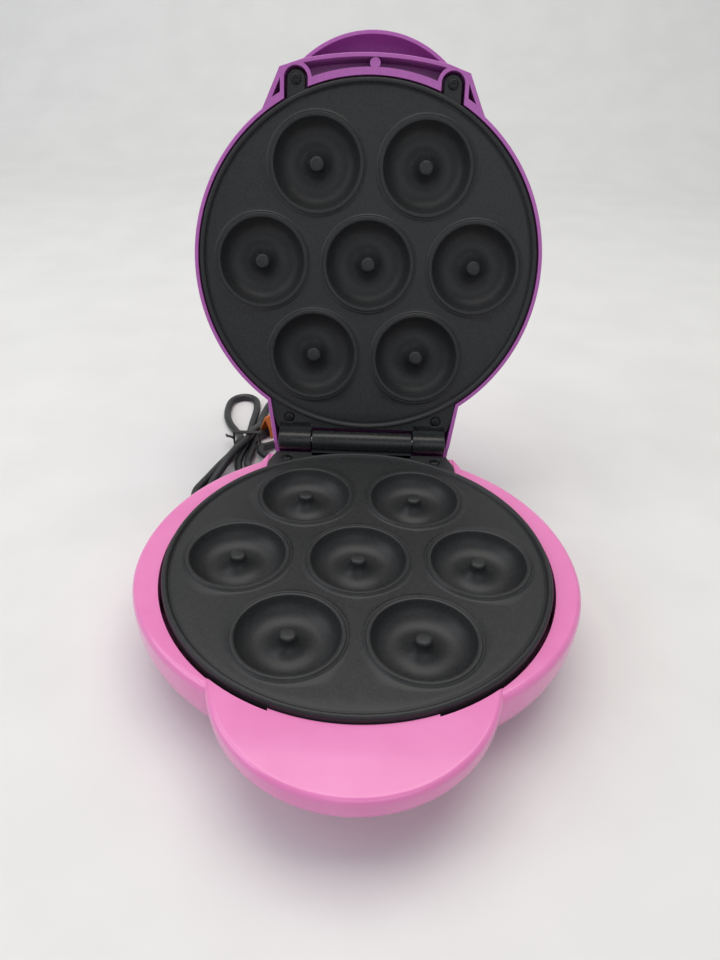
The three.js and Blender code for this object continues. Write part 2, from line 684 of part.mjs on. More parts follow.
// Moulded strain relief: the jacket inside, a collar each side of the wall, a tapered boot
function strainRelief() {
  const inner = HEEL_Y - WALL;
  const profile = [
    [0, CLAMP_Y - 6 - HEEL_Y], [CORD_R, CLAMP_Y - 6 - HEEL_Y], [CORD_R, inner - 5 - HEEL_Y],
    [BOOT_R + 1, inner - 4.5 - HEEL_Y], [BOOT_R + 1, inner - SEAT - HEEL_Y],
    [BOOT_R - 1 - SEAT, inner - SEAT - HEEL_Y], [BOOT_R - 1 - SEAT, SEAT],
    [BOOT_R + 1, SEAT], [BOOT_R + 1, 2.5], [BOOT_R, 3], [CORD_R + 1, BOOT_LENGTH], [0, BOOT_LENGTH],
  ].map(([radius, along]) => new THREE.Vector2(radius, along));
  const geometry = new THREE.LatheGeometry(profile, 16);
  return solid(geometry.translate(LEAD_X, HEEL_Y, LEAD_Z));
}

// ---- Lid, worked out closed ----------------------------------------------------------

// The dome's shape, as shares of its radius and height: upright at the plate, then rounded
const DOME_SHAPE = [
  [1, 0.19], [0.975, 0.42], [0.93, 0.62], [0.85, 0.78], [0.7, 0.9], [0.42, 0.975],
];

// Radius and height of the dome, from its rim to the middle of its top
function domeSteps(wall) {
  const radius = LID_R - wall;
  const rim = wall > 0 ? MATE - 2 : LID_RIM;
  const height = LID_TOP - wall - MATE;
  const steps = [[radius, rim]];
  for (const [out, up] of DOME_SHAPE) steps.push([radius * out, MATE + height * up]);
  return [[0, rim], ...steps, [0, MATE + height]];
}

// The front block that carries the screw pockets; its front edge is a shallow arc
function blockOutline(inset) {
  const front = PLATE_R + 10.8 - inset;
  const shoulder = PLATE_R + 6.8 - inset;
  const [side, corner] = [58.9 - inset * 1.2, 49.7 - inset * 0.9];
  const half = 37.7;
  const radius = (half ** 2 + (front - shoulder) ** 2) / (2 * (front - shoulder));
  const spread = (Math.asin(half / radius) * 180) / Math.PI;
  const edge = arc(0, radius - front, radius, 270 - spread, 270 + spread, 10);
  const back = -(PLATE_R - 18.2);
  return [[-side, back], [-corner, -(shoulder - 4)], ...edge, [corner, -(shoulder - 4)], [side, back]];
}

const lidTailOutline = (wall, backY) => [
  [-LID_TAIL_FRONT_X + wall, PLATE_R - 17.6], [LID_TAIL_FRONT_X - wall, PLATE_R - 17.6],
  [LID_TAIL_BACK_X - wall, backY - wall], [-LID_TAIL_BACK_X + wall, backY - wall],
];

// Crescent grip: a round lobe that stands out in front, open underneath
const gripSteps = (wall) => [
  [wall, wall > 0 ? GRIP_RIM - 1 : GRIP_RIM], [1 + wall, GRIP_RIM + GRIP_HEIGHT * 0.5],
  [4.5 + wall, GRIP_RIM + GRIP_HEIGHT * 0.85 - wall / 2], [11 + wall, GRIP_RIM + GRIP_HEIGHT - wall],
].map(([inset, up]) => [inset, MATE + up]);

// The pocket that an ear of the plate lies in, or with its wall added
function earPocket(side, wall) {
  const x = side * EAR_X;
  const half = EAR_WIDTH / 2 + 1.5 + wall;
  const root = -EAR_Y + 22;
  const outline = [[x - half, root], ...arc(x, -EAR_Y, half, 180, 360, 10), [x + half, root]];
  return prism(outline, MATE - 1, MATE + BLOCK_HEIGHT - LID_WALL);
}

function lidShell() {
  const back = LID_BACK_Y + LID_BACK_WALL;
  const blockTop = MATE + BLOCK_HEIGHT;
  const dome = turned(domeSteps(0), 42);
  const front = prism(blockOutline(0), LID_RIM, blockTop);
  const grip = moved(GRIP_R, gripSteps(0), GRIP_Y, 32);
  const tailSides = prism(lidTailOutline(0, back), LID_RIM, MATE + LID_TAIL_HEIGHT);
  const outside = union(dome, front, grip, tailSides);

  const room = turned(domeSteps(LID_WALL), 42);
  const tailTop = MATE + LID_TAIL_HEIGHT - LID_WALL;
  const tailRoom = prism(lidTailOutline(LID_WALL, back), MATE - 2, tailTop);
  // Inside the front block: an arched channel between two ribs, and a corner at each side
  const innerRib = post(0, 0, PLATE_R + 4.1, LID_RIM - 1, blockTop, 42);
  const inBlock = prism(blockOutline(RIB), MATE - 1, blockTop - LID_WALL);
  const channel = inBlock.subtract(innerRib).subtract(union(earPocket(-1, RIB), earPocket(1, RIB)));
  const pockets = union(earPocket(-1, 0), earPocket(1, 0));
  const gripRoom = moved(GRIP_R, gripSteps(LID_WALL), GRIP_Y, 32)
    .subtract(prism(blockOutline(0), 0, 2 * MATE));
  const rearX = LID_TAIL_BACK_X + 9;
  const rearCut = block(-rearX, rearX, HINGE_Y + 2, back + 2, MATE - 2, HINGE_Z + 1);
  const backWallCut = block(-70, 70, back, back + 20, MATE - 2, MATE + 40);

  // Posts for the plate's screws reach down from the top
  const seatZ = MATE + TAIL_BACK + SEAT;
  let posts = union(
    post(-EAR_X, -EAR_Y, LID_POST_R, seatZ, LID_TOP), post(EAR_X, -EAR_Y, LID_POST_R, seatZ, LID_TOP),
    post(-REAR_SCREW_X, REAR_SCREW_Y, LID_POST_R, seatZ, LID_TOP),
    post(REAR_SCREW_X, REAR_SCREW_Y, LID_POST_R, seatZ, LID_TOP),
  );
  // and two thinner ones for the lamp holder
  const holderZ = LID_TOP - LID_WALL - HOLDER_DROP;
  for (const side of [-1, 1]) {
    posts = posts.add(post(side * HOLDER_POST_X, LAMP_Y, HOLDER_POST_R, holderZ, LID_TOP, 12));
  }

  let shell = outside.subtract(room).subtract(tailRoom).subtract(channel).subtract(pockets)
    .subtract(gripRoom).add(posts.intersect(outside)).subtract(rearCut).subtract(backWallCut);
  for (const [x, y] of [[EAR_X, -EAR_Y], [REAR_SCREW_X, REAR_SCREW_Y]]) {
    for (const side of [-1, 1]) {
      shell = shell.subtract(post(side * x, y, HOLE_R, seatZ - 1, seatZ + SCREW_LENGTH - 2, 10));
    }
  }
  for (const x of [-LAMP_X, LAMP_X]) {
    shell = shell.subtract(post(x, LAMP_Y, LENS_R + SEAT, MATE + 20, LID_TOP + 9, 16));
  }
  // A boss across the channel in the middle of the front
  return shell.add(post(0, -(PLATE_R + 6), 2.7, LID_RIM + 0.4, blockTop - 1, 12));
}

// Where the top of the dome lies over the lamps
function domeHeightAt(radius) {
  const steps = domeSteps(0).slice(1).reverse();
  for (let i = 1; i < steps.length; i++) {
    if (radius <= steps[i][0]) {
      const share = (radius - steps[i - 1][0]) / (steps[i][0] - steps[i - 1][0]);
      return THREE.MathUtils.lerp(steps[i - 1][1], steps[i][1], share);
    }
  }
  return LID_RIM;
}

const LENS_SEAT = domeHeightAt(Math.hypot(LAMP_X, LAMP_Y) + LENS_R + 2) - LID_WALL - 0.9;

// A domed lens with a flange inside the lid
const lens = (x) => turned([
  [0, LENS_SEAT - 2], [LENS_R + 1.6, LENS_SEAT - 2], [LENS_R + 1.6, LENS_SEAT - SEAT],
  [LENS_R, LENS_SEAT - SEAT], [LENS_R, LENS_SEAT + 4.3], [LENS_R * 0.6, LENS_SEAT + 5.4],
  [0, LENS_SEAT + 5.8],
], 16, x, LAMP_Y);

const neon = (x) => turned([
  [0, LENS_SEAT - 2 - SEAT - LAMP_LENGTH], [LAMP_R, LENS_SEAT - 2 - SEAT - LAMP_LENGTH],
  [LAMP_R, LENS_SEAT - 2 - SEAT - 1.5], [1, LENS_SEAT - 2 - SEAT], [0, LENS_SEAT - 2 - SEAT],
], 14, x, LAMP_Y);

// Strip that holds the two lamps up to their lenses
function lampHolder() {
  const top = LID_TOP - LID_WALL - HOLDER_DROP - SEAT;
  const low = top - HOLDER_THICK;
  const end = HOLDER_POST_X + HOLDER_POST_R + 1;
  let strip = block(-end, end, LAMP_Y - 5, LAMP_Y + 5, low, top);
  for (const x of [-LAMP_X, LAMP_X]) {
    strip = strip.subtract(post(x, LAMP_Y, LAMP_R + SEAT, low - 1, top + 1, 14));
  }
  return strip;
}

// ---- Mains lead, behind the appliance on the table -----------------------------------

// Points [x, y, z] chosen by hand, in the part's own frame
const LEAD_ROUTE = [
  [-22, 111.9, 13], [-22.1, 115, 12.7], [-23.6, 119.6, 10.8], [-27.6, 122.6, 7.6], [-34, 121.6, 4.4],
  [-42, 116.8, 2.9], [-49.6, 109.6, 2.7],
];
const FIRST_LOOP = [
  [-86.3, 142, 3.9], [-87.2, 146, 3.7], [-91.4, 153.5, 3], [-96.8, 163, 2.7], [-100.9, 173.9, 2.7],
  [-102.4, 187, 2.7], [-101.4, 198.2, 2.7], [-96.6, 204.4, 2.7], [-89.6, 205.6, 2.7], [-83.5, 201, 2.7],
  [-80.9, 190.5, 2.7], [-80.6, 178.5, 2.7], [-81, 167.4, 2.7], [-81, 155, 2.9], [-80.9, 146, 3.6],
  [-80.9, 141.8, 3.9],
];
const SECOND_LOOP = [
  [-78.2, 141.8, 8.9], [-77.8, 146, 8.5], [-76.4, 152.5, 6.6], [-75.3, 161, 4.2], [-74.7, 172, 2.8],
  [-73.8, 183, 2.7], [-71.6, 195.4, 2.7], [-67, 203.4, 2.7], [-58.8, 206.4, 2.7], [-51.2, 201.8, 2.7],
  [-48.8, 191.4, 2.7], [-53, 176.5, 2.7], [-60.8, 164.5, 2.7], [-67.6, 155, 2.8], [-74, 147.6, 3.5],
  [-75.2, 142, 3.9],
];
const PLUG_ROUTE = [
  [-69.8, 130.6, 4.8], [-66.9, 133.5, 3.9], [-62.3, 138, 2.9], [-56.8, 142.5, 2.7], [-50.6, 146.3, 3.6],
  [-45, 148.6, 5.8], [-40.6, 149.2, 7.3], [-36.6, 149.2, 7.6],
];

function strand(points) {
  const curve = new THREE.CatmullRomCurve3(points.map(([x, y, z]) => new THREE.Vector3(x, y, z)));
  return tube(curve, CORD_R, Math.round(curve.getLength() / (4.6 * CORD_R)));
}

// The tied part of the bundle: a spread of low loops, and the neck that the tie holds
const NECK = { left: -89.2, right: -72.4, low: 1.3, high: 11.6 };

function hank() {
  const spread = prism([
    [-91.5, 131], ...arc(-94, 72.5, 15, 165, 270, 6), ...arc(-66, 70, 12.5, 270, 360, 5),
    [-51.6, 107.3], [-61, 121], [-72.4, 132.4],
  ], 0.1, 13.2);
  return spread.add(block(NECK.left, NECK.right, 129, 141.2, NECK.low, NECK.high));
}

function cordTie() {
  const round = (gap, y0, y1) =>
    block(NECK.left - gap, NECK.right + gap, y0, y1, NECK.low - gap, NECK.high + gap);
  const band = round(SEAT + TIE_THICK, 136, 139).subtract(round(SEAT, 135, 140));
  const ends = new THREE.CatmullRomCurve3([
    new THREE.Vector3(-90, 137.5, 7), new THREE.Vector3(-92.5, 137.5, 8.5), new THREE.Vector3(-95, 140, 7),
    new THREE.Vector3(-96.5, 144, 5.5),
  ]);
  return band.add(tube(ends, TIE_THICK, 6, 8));
}

// Folded paper tag that straddles the second loop's returning strand
function cordTag() {
  const length = 20;
  const fold = [
    [0, 14.6], [3.2, 8], [4.6, 0.2], [5.2, 0.2], [3.8, 8.4], [0.5, 16], [-0.5, 16],
    [-3.8, 8.4], [-5.2, 0.2], [-4.6, 0.2], [-3.2, 8],
  ];
  const shape = new THREE.Shape(fold.map(([x, z]) => new THREE.Vector2(x, z)));
  const geometry = new THREE.ExtrudeGeometry(shape, { depth: length, bevelEnabled: false });
  geometry.rotateX(Math.PI / 2).translate(0, length / 2, 0);
  return solid(geometry.rotateZ(rad(-36)).translate(-63.6, 160.2, 0));
}

// Two-blade plug lying flat, its neck towards the lead
const PLUG_END_X = -36.2;
const PLUG_Y = 149.2;
const PLUG_Z = 7.6;

// The space of a blade, with a gap all round it, between two places along the plug
function bladeBlock(side, gap, from, to) {
  const [y, half] = [PLUG_Y + side * BLADE_X, BLADE_THICK / 2 + gap];
  const rise = BLADE_WIDE / 2 + gap;
  return block(from, to, y - half, y + half, PLUG_Z - rise, PLUG_Z + rise);
}

function plugBody() {
  const neck = new THREE.CylinderGeometry(6, CORD_R + 0.8, 12, 16);
  const taper = solid(neck.rotateZ(-Math.PI / 2).translate(PLUG_END_X + 6, PLUG_Y, PLUG_Z));
  const outline = [
    [PLUG_END_X + 11, PLUG_Y - 6], [PLUG_END_X + 15, PLUG_Y - 11], [PLUG_END_X + 35, PLUG_Y - 12.5],
    [PLUG_END_X + 35, PLUG_Y + 12.5], [PLUG_END_X + 15, PLUG_Y + 11], [PLUG_END_X + 11, PLUG_Y + 6],
  ];
  let body = taper.add(prism(outline, 0.4, 2 * PLUG_Z - 0.4));
  for (const side of [-1, 1]) {
    body = body.subtract(bladeBlock(side, SEAT, PLUG_END_X + BLADE_ROOT, PLUG_END_X + BLADE_ROOT + 6));
  }
  return body;
}

const plugBlade = (side) => {
  const root = PLUG_END_X + BLADE_ROOT + SEAT;
  return bladeBlock(side, 0, root, root + BLADE_LENGTH);
};

// ---- Assembly ------------------------------------------------------------------------

const donutMaker = new THREE.Group();
const appliance = new THREE.Group();
appliance.position.y = PLATE_Y;
donutMaker.add(appliance);

// The lid's group turns on the hinge; its pieces are placed as in the closed lid
const hinge = new THREE.Group();
hinge.position.set(0, HINGE_Y, HINGE_Z);
hinge.rotation.x = rad(-OPEN_ANGLE);
appliance.add(hinge);
const lid = new THREE.Group();
lid.position.set(0, -HINGE_Y, -HINGE_Z);
hinge.add(lid);

// Both plates hang their heater, reflector and thermostat behind them; the upper is turned over
function plateStack(parent, prefix, plate, turn) {
  const stack = new THREE.Group();
  stack.position.z = MATE;
  stack.rotation.y = turn;
  parent.add(stack);
  piece(stack, `${prefix}_plate`, plate, NON_STICK);
  piece(stack, `${prefix}_heating_element`, heater(), STEEL);
  piece(stack, `${prefix}_reflector`, reflector(), ALUMINIUM);
  piece(stack, `${prefix}_reflector_screw`, screw(0, 0, -REFLECTOR_BACK, 1, 7), STEEL);
  piece(stack, `${prefix}_thermostat`, thermostat(), STEEL);
  const left = turn === 0 ? -1 : 1;
  for (const [name, side] of [['left', left], ['right', -left]]) {
    const rear = screw(side * REAR_SCREW_X, REAR_SCREW_Y, -TAIL_DROP - SINK_DEPTH);
    piece(stack, `${prefix}_plate_screw_rear_${name}`, rear, STEEL);
  }
  return stack;
}

const lower = plateStack(appliance, 'lower', lowerPlate(), 0);
piece(lower, 'thermal_fuse', thermalFuse(), STEEL);
for (const [name, side] of [['left', -1], ['right', 1]]) {
  const [x, y] = frontPostPlace(side);
  const seat = -FRONT_BOSS_DROP - SEAT - FRONT_WEB;
  piece(lower, `lower_plate_screw_front_${name}`, screw(x, y, seat, 1), STEEL);
}
piece(appliance, 'base_shell', baseShell(), PINK);
for (const [name, x, y] of footPlaces()) piece(appliance, name, foot(x, y), BLACK_RUBBER);
piece(appliance, 'hinge_pin', rodX(HINGE_Y, HINGE_Z, PIN_R, -KNUCKLE_END_X, KNUCKLE_END_X), STEEL);
piece(appliance, 'terminal_block', terminalBlock(), CERAMIC);
piece(appliance, 'cord_clamp', cordClamp(), BLACK_PLASTIC);
piece(appliance, 'cord_clamp_screw_left', clampScrew(clampPostX[0]), STEEL);
piece(appliance, 'cord_clamp_screw_right', clampScrew(clampPostX[1]), STEEL);
piece(appliance, 'strain_relief', strainRelief(), BLACK_RUBBER);

const upper = plateStack(lid, 'upper', upperPlate(), Math.PI);
for (const [name, side] of [['left', 1], ['right', -1]]) {
  piece(upper, `upper_plate_screw_front_${name}`, screw(side * EAR_X, -EAR_Y, -TAIL_DROP), STEEL);
}
piece(lid, 'lid_shell', lidShell(), PURPLE_PINK);
piece(lid, 'power_lamp_lens', lens(-LAMP_X), RED_LENS);
piece(lid, 'ready_lamp_lens', lens(LAMP_X), GREEN_LENS);
piece(lid, 'power_lamp', neon(-LAMP_X), CLEAR_GLASS);
piece(lid, 'ready_lamp', neon(LAMP_X), CLEAR_GLASS);
piece(lid, 'lamp_holder', lampHolder(), BLACK_PLASTIC);

piece(donutMaker, 'power_cord_lead', strand(LEAD_ROUTE), BLACK_RUBBER);
piece(donutMaker, 'power_cord_first_loop', strand(FIRST_LOOP), BLACK_RUBBER);
piece(donutMaker, 'power_cord_second_loop', strand(SECOND_LOOP), BLACK_RUBBER);
piece(donutMaker, 'power_cord_plug_end', strand(PLUG_ROUTE), BLACK_RUBBER);
piece(donutMaker, 'power_cord_hank', hank(), BLACK_RUBBER);
piece(donutMaker, 'cord_tie', cordTie(), BLACK_PLASTIC);
piece(donutMaker, 'cord_tag', cordTag(), ORANGE);
piece(donutMaker, 'power_plug', plugBody(), BLACK_PLASTIC);
piece(donutMaker, 'plug_blade_left', plugBlade(-1), BRASS);
piece(donutMaker, 'plug_blade_right', plugBlade(1), BRASS);

export default donutMaker;
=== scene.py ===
import json
import math

import bmesh
import bpy
import numpy as np
from mathutils import Matrix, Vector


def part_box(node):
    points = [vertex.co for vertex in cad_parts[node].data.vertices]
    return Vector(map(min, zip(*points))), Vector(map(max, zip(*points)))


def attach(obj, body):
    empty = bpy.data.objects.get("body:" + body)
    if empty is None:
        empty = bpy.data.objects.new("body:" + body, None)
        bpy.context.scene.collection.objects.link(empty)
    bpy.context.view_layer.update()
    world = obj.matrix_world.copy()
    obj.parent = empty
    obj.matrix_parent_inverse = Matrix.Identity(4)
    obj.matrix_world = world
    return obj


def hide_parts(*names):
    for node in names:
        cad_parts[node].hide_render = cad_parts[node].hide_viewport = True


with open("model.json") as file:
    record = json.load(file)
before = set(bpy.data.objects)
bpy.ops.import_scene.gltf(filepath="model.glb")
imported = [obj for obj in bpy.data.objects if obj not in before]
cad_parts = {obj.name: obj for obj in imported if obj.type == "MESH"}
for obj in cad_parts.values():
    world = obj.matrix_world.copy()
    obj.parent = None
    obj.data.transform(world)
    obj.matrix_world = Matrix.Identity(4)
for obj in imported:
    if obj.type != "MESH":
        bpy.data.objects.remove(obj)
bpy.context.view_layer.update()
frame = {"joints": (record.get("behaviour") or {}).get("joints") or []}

# ---- Camera --------------------------------------------------------------------------
# A phone held above the front of the table, looking down over the open appliance.
# Its lens is given for a 36 mm sensor along the picture's long side.

CAMERA_PLACE = (-0.0017, -0.3026, 0.2835)
CAMERA_AZIMUTH = math.radians(-0.24)
CAMERA_ELEVATION = math.radians(35.06)
CAMERA_ROLL = math.radians(2.14)
LENS = 27.47

back = np.array([
    math.sin(CAMERA_AZIMUTH) * math.cos(CAMERA_ELEVATION),
    -math.cos(CAMERA_AZIMUTH) * math.cos(CAMERA_ELEVATION),
    math.sin(CAMERA_ELEVATION),
])
level = np.array([math.cos(CAMERA_AZIMUTH), math.sin(CAMERA_AZIMUTH), 0.0])
upright = np.cross(back, level)
right = level * math.cos(CAMERA_ROLL) + upright * math.sin(CAMERA_ROLL)
up = upright * math.cos(CAMERA_ROLL) - level * math.sin(CAMERA_ROLL)
camera = bpy.data.objects.new("camera", bpy.data.cameras.new("camera"))
camera.data.sensor_width = 36
camera.data.lens = LENS
camera.data.clip_start = 0.01
camera.data.clip_end = 20
turn = Matrix(np.stack([right, up, back], 1).tolist()).to_4x4()
camera.matrix_world = Matrix.Translation(CAMERA_PLACE) @ turn
bpy.context.scene.collection.objects.link(camera)
bpy.context.scene.camera = camera

# ---- Mains lead ----------------------------------------------------------------------
# A thin two-core lead in soft black vinyl, extruded round. It comes out of the strain relief
# at the back, is folded into a bundle behind the appliance, and ends in its plug.

MM = 0.001
CORD_WIDTH = 5.2
LEAD_ROUTE = [
    (-22, 111.6, 13), (-22.05, 115, 12.7), (-23.6, 119.6, 10.8), (-27.6, 122.6, 7.6), (-34, 121.6, 4.4),
    (-42, 116.8, 2.9), (-49.6, 109.6, 2.7),
]
# Round the front of the bundle, low on the table
FRONT_TURN = [
    (-54.3, 101, 2.7), (-57, 90, 2.7), (-59.5, 79, 2.7), (-65, 69.5, 2.7), (-74, 63, 2.7), (-85, 60.6, 2.7),
    (-96, 62.2, 2.7), (-103.6, 69, 2.7), (-105.6, 78, 2.7), (-103.2, 87.1, 2.7), (-100.9, 93.4, 2.7),
    (-95.9, 108.2, 2.7), (-90.3, 121.9, 3.2), (-87.2, 132, 3.8),
]
FIRST_LOOP = [
    (-86.4, 142, 3.9), (-87.2, 146, 3.7), (-91.4, 153.5, 3), (-96.8, 163, 2.7), (-100.9, 173.9, 2.7),
    (-102.4, 187, 2.7), (-101.4, 198.2, 2.7), (-96.6, 204.4, 2.7), (-89.6, 205.6, 2.7), (-83.5, 201, 2.7),
    (-80.9, 190.5, 2.7), (-80.6, 178.5, 2.7), (-81, 167.4, 2.7), (-81, 155, 2.9), (-80.9, 146, 3.6),
    (-80.9, 141.8, 3.9),
]
INNER_TURN = [
    (-81.2, 134, 3.8), (-82.8, 125, 3.2), (-83.6, 113, 2.8), (-80.6, 101, 2.7), (-76, 91.5, 2.7),
    (-75.4, 81.5, 2.7), (-79.8, 73.6, 2.7), (-87.6, 70.8, 2.7), (-94.8, 74.6, 2.8), (-97.3, 82.4, 3),
    (-95.9, 91.5, 3.8), (-92.6, 100.5, 5.8), (-89.6, 110, 8), (-86, 121, 8.7), (-80.9, 132, 9),
]
SECOND_LOOP = [
    (-78.2, 141.8, 8.9), (-77.8, 146, 8.5), (-76.4, 152.5, 6.6), (-75.3, 161, 4.2), (-74.7, 172, 2.8),
    (-73.8, 183, 2.7), (-71.6, 195.4, 2.7), (-67, 203.4, 2.7), (-58.8, 206.4, 2.7), (-51.2, 201.8, 2.7),
    (-48.8, 191.4, 2.7), (-53, 176.5, 2.7), (-60.8, 164.5, 2.7), (-67.6, 155, 2.8), (-74, 147.6, 3.5),
    (-75.4, 142, 3.9),
]
OUTER_TURN = [
    (-75.8, 134, 3.7), (-76.5, 124, 3.2), (-76.9, 114, 4.2), (-75.6, 104.5, 6.8), (-72.2, 96, 8.1),
    (-65, 92, 8.3), (-57.6, 95.2, 8.3), (-54.6, 102.4, 8.3), (-57, 110, 7.4), (-62, 115.8, 6.3),
    (-67, 120.6, 5.4), (-69.9, 125.4, 4.9),
]
PLUG_ROUTE = [
    (-69.8, 130.6, 4.8), (-66.9, 133.5, 3.9), (-62.3, 138, 2.9), (-56.8, 142.5, 2.7), (-50.6, 146.3, 3.6),
    (-45, 148.6, 5.8), (-40.6, 149.2, 7.3), (-36.4, 149.2, 7.6),
]
CORD_ROUTE = LEAD_ROUTE + FRONT_TURN + FIRST_LOOP + INNER_TURN + SECOND_LOOP + OUTER_TURN + PLUG_ROUTE


def smooth_line(points, per_span):
    """A centripetal Catmull-Rom curve: knots are a square root of each chord apart, and each span
    blends the two quadratics that pass through three neighbouring points."""
    p = np.asarray(points, float)
    p = np.vstack([2 * p[0] - p[1], p, 2 * p[-1] - p[-2]])
    gaps = np.sqrt(np.linalg.norm(np.diff(p, axis=0), axis=1))
    knots = np.concatenate([[0], np.cumsum(gaps)])
    p0, p1, p2, p3 = (p[i:len(p) - 3 + i, None] for i in range(4))
    t0, t1, t2, t3 = (knots[i:len(p) - 3 + i, None, None] for i in range(4))
    t = t1 + (t2 - t1) * np.arange(per_span)[None, :, None] / per_span
    a1 = ((t1 - t) * p0 + (t - t0) * p1) / (t1 - t0)
    a2 = ((t2 - t) * p1 + (t - t1) * p2) / (t2 - t1)
    a3 = ((t3 - t) * p2 + (t - t2) * p3) / (t3 - t2)
    b1 = ((t2 - t) * a1 + (t - t0) * a2) / (t2 - t0)
    b2 = ((t3 - t) * a2 + (t - t1) * a3) / (t3 - t1)
    spans = ((t2 - t) * b1 + (t - t1) * b2) / (t2 - t1)
    return np.vstack([spans.reshape(-1, p.shape[1]), p[-2]])


def net(rows, columns, closed=False):
    """Quads between neighbouring rings of a grid: each row is a ring; closed joins the last to the first."""
    i, j = np.meshgrid(np.arange(rows - (not closed)), np.arange(columns), indexing="ij")
    here, across = i * columns, (i + 1) % rows * columns
    after = (j + 1) % columns
    return np.stack([here + j, here + after, across + after, across + j], -1).reshape(-1, 4)


def swept(line, radius, sides):
    """A tube: each ring is the line's point plus radius times cos and sin along a level side and its own up.
    radius may change along the line, and 0 at an end closes it."""
    line = np.asarray(line, float)
    ahead = np.gradient(line, axis=0)
    ahead /= np.linalg.norm(ahead, axis=1)[:, None]
    side = np.cross(ahead, [0, 0, 1])
    side /= np.linalg.norm(side, axis=1)[:, None]
    above = np.cross(side, ahead)
    turn = np.linspace(0, 2 * math.pi, sides, endpoint=False)[None, :, None]
    size = np.broadcast_to(radius, len(line))[:, None, None]
    rings = line[:, None] + size * (np.cos(turn) * side[:, None] + np.sin(turn) * above[:, None])
    return rings.reshape(-1, 3), net(len(line), sides)


def closed_ends(line, radius):
    """The line with its end points doubled, and radius falling to 0 there, so that a tube has flat ends."""
    line = np.vstack([line[0], line, line[-1]])
    line[0] -= (line[2] - line[1]) * 1e-3
    line[-1] += (line[-2] - line[-3]) * 1e-3
    size = np.full(len(line), float(radius))
    size[[0, -1]] = 0
    return line, size


def gathered(shells):
    """Several closed surfaces as one list of points and faces."""
    starts = np.cumsum([0] + [len(points) for points, _ in shells])
    faces = [[[corner + start for corner in face] for face in np.asarray(f, object).tolist()]
             for (_, f), start in zip(shells, starts.tolist())]
    return np.vstack([points for points, _ in shells]), sum(faces, [])


DOUBLES = 0.002 * MM


def mesh_of(name, points, faces):
    """A mesh in metres from points in millimetres, with doubles merged and its faces turned outwards."""
    mesh = bpy.data.meshes.new(name)
    corners = faces.tolist() if isinstance(faces, np.ndarray) else faces
    mesh.from_pydata((np.asarray(points, float) * MM).tolist(), [], corners)
    work = bmesh.new()
    work.from_mesh(mesh)
    bmesh.ops.remove_doubles(work, verts=work.verts, dist=DOUBLES)
    bmesh.ops.recalc_face_normals(work, faces=work.faces)
    work.to_mesh(mesh)
    work.free()
    return mesh


SHARP = math.radians(38)


def piece(name, mesh, look, body, slot, *nodes):
    """A finished piece, smooth but for its sharp edges, with its material, on its body, for its CAD nodes."""
    made = bpy.data.objects.new(name, mesh)
    bpy.context.scene.collection.objects.link(made)
    mesh.shade_smooth()
    mesh.set_sharp_from_angle(angle=SHARP)
    mesh.materials.clear()
    mesh.materials.append(look)
    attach(made, body)
    if nodes:
        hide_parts(*nodes)
    return made


def colour(code):
    """An sRGB hex value as the linear colour that a shader takes."""
    share = np.array([int(code[i:i + 2], 16) for i in (1, 3, 5)]) / 255
    linear = np.where(share <= 0.04045, share / 12.92, ((share + 0.055) / 1.055) ** 2.4)
    return (*linear.tolist(), 1.0)


def add(tree, kind, values=None, links=None, **settings):
    """Adds a node with its settings, the values of its sockets, and links from other nodes' outputs."""
    made = tree.nodes.new(kind)
    for key, value in settings.items():
        setattr(made, key, value)
    for key, value in (values or {}).items():
        made.inputs[key].default_value = value
    for key, (source, output) in (links or {}).items():
        tree.links.new(source.outputs[output], made.inputs[key])
    return made


def finish_of(name, **values):
    """A new material: its node tree, a Principled shader with these socket values, and object coordinates."""
    look = bpy.data.materials.new(name)
    look.use_nodes = True
    look.node_tree.nodes.clear()
    tree = look.node_tree
    shader = add(tree, "ShaderNodeBsdfPrincipled", {key.replace("_", " "): v for key, v in values.items()})
    add(tree, "ShaderNodeOutputMaterial", links={"Surface": (shader, "BSDF")})
    place = add(tree, "ShaderNodeTexCoord")
    return look, tree, shader, place


def mottled(tree, shader, place, dark, light, grain_mm, rough, bump_mm=0.0, detail=3.0, share=(0.35, 0.65)):
    """Noise of a real grain size drives the colour between two shades, the roughness, and a fine bump."""
    noise = add(tree, "ShaderNodeTexNoise", {"Scale": 1 / (grain_mm * MM), "Detail": detail},
                {"Vector": (place, "Object")})
    ramp = add(tree, "ShaderNodeValToRGB", links={"Fac": (noise, "Fac")})
    ramp.color_ramp.elements[0].position, ramp.color_ramp.elements[1].position = share
    ramp.color_ramp.elements[0].color, ramp.color_ramp.elements[1].color = colour(dark), colour(light)
    tree.links.new(ramp.outputs["Color"], shader.inputs["Base Color"])
    gloss = add(tree, "ShaderNodeMapRange", {"To Min": rough[0], "To Max": rough[1]},
                {"Value": (noise, "Fac")})
    tree.links.new(gloss.outputs["Result"], shader.inputs["Roughness"])
    if bump_mm:
        bump = add(tree, "ShaderNodeBump", {"Distance": bump_mm * MM, "Strength": 1.0},
                   {"Height": (noise, "Fac")})
        tree.links.new(bump.outputs["Normal"], shader.inputs["Normal"])


# Plasticised PVC, extruded: a soft satin skin with faint drag marks and a little dust
vinyl, tree, shader, place = finish_of("extruded soft vinyl", IOR=1.53)
mottled(tree, shader, place, "#17181a", "#26282a", 2.4, (0.34, 0.5), 0.03)

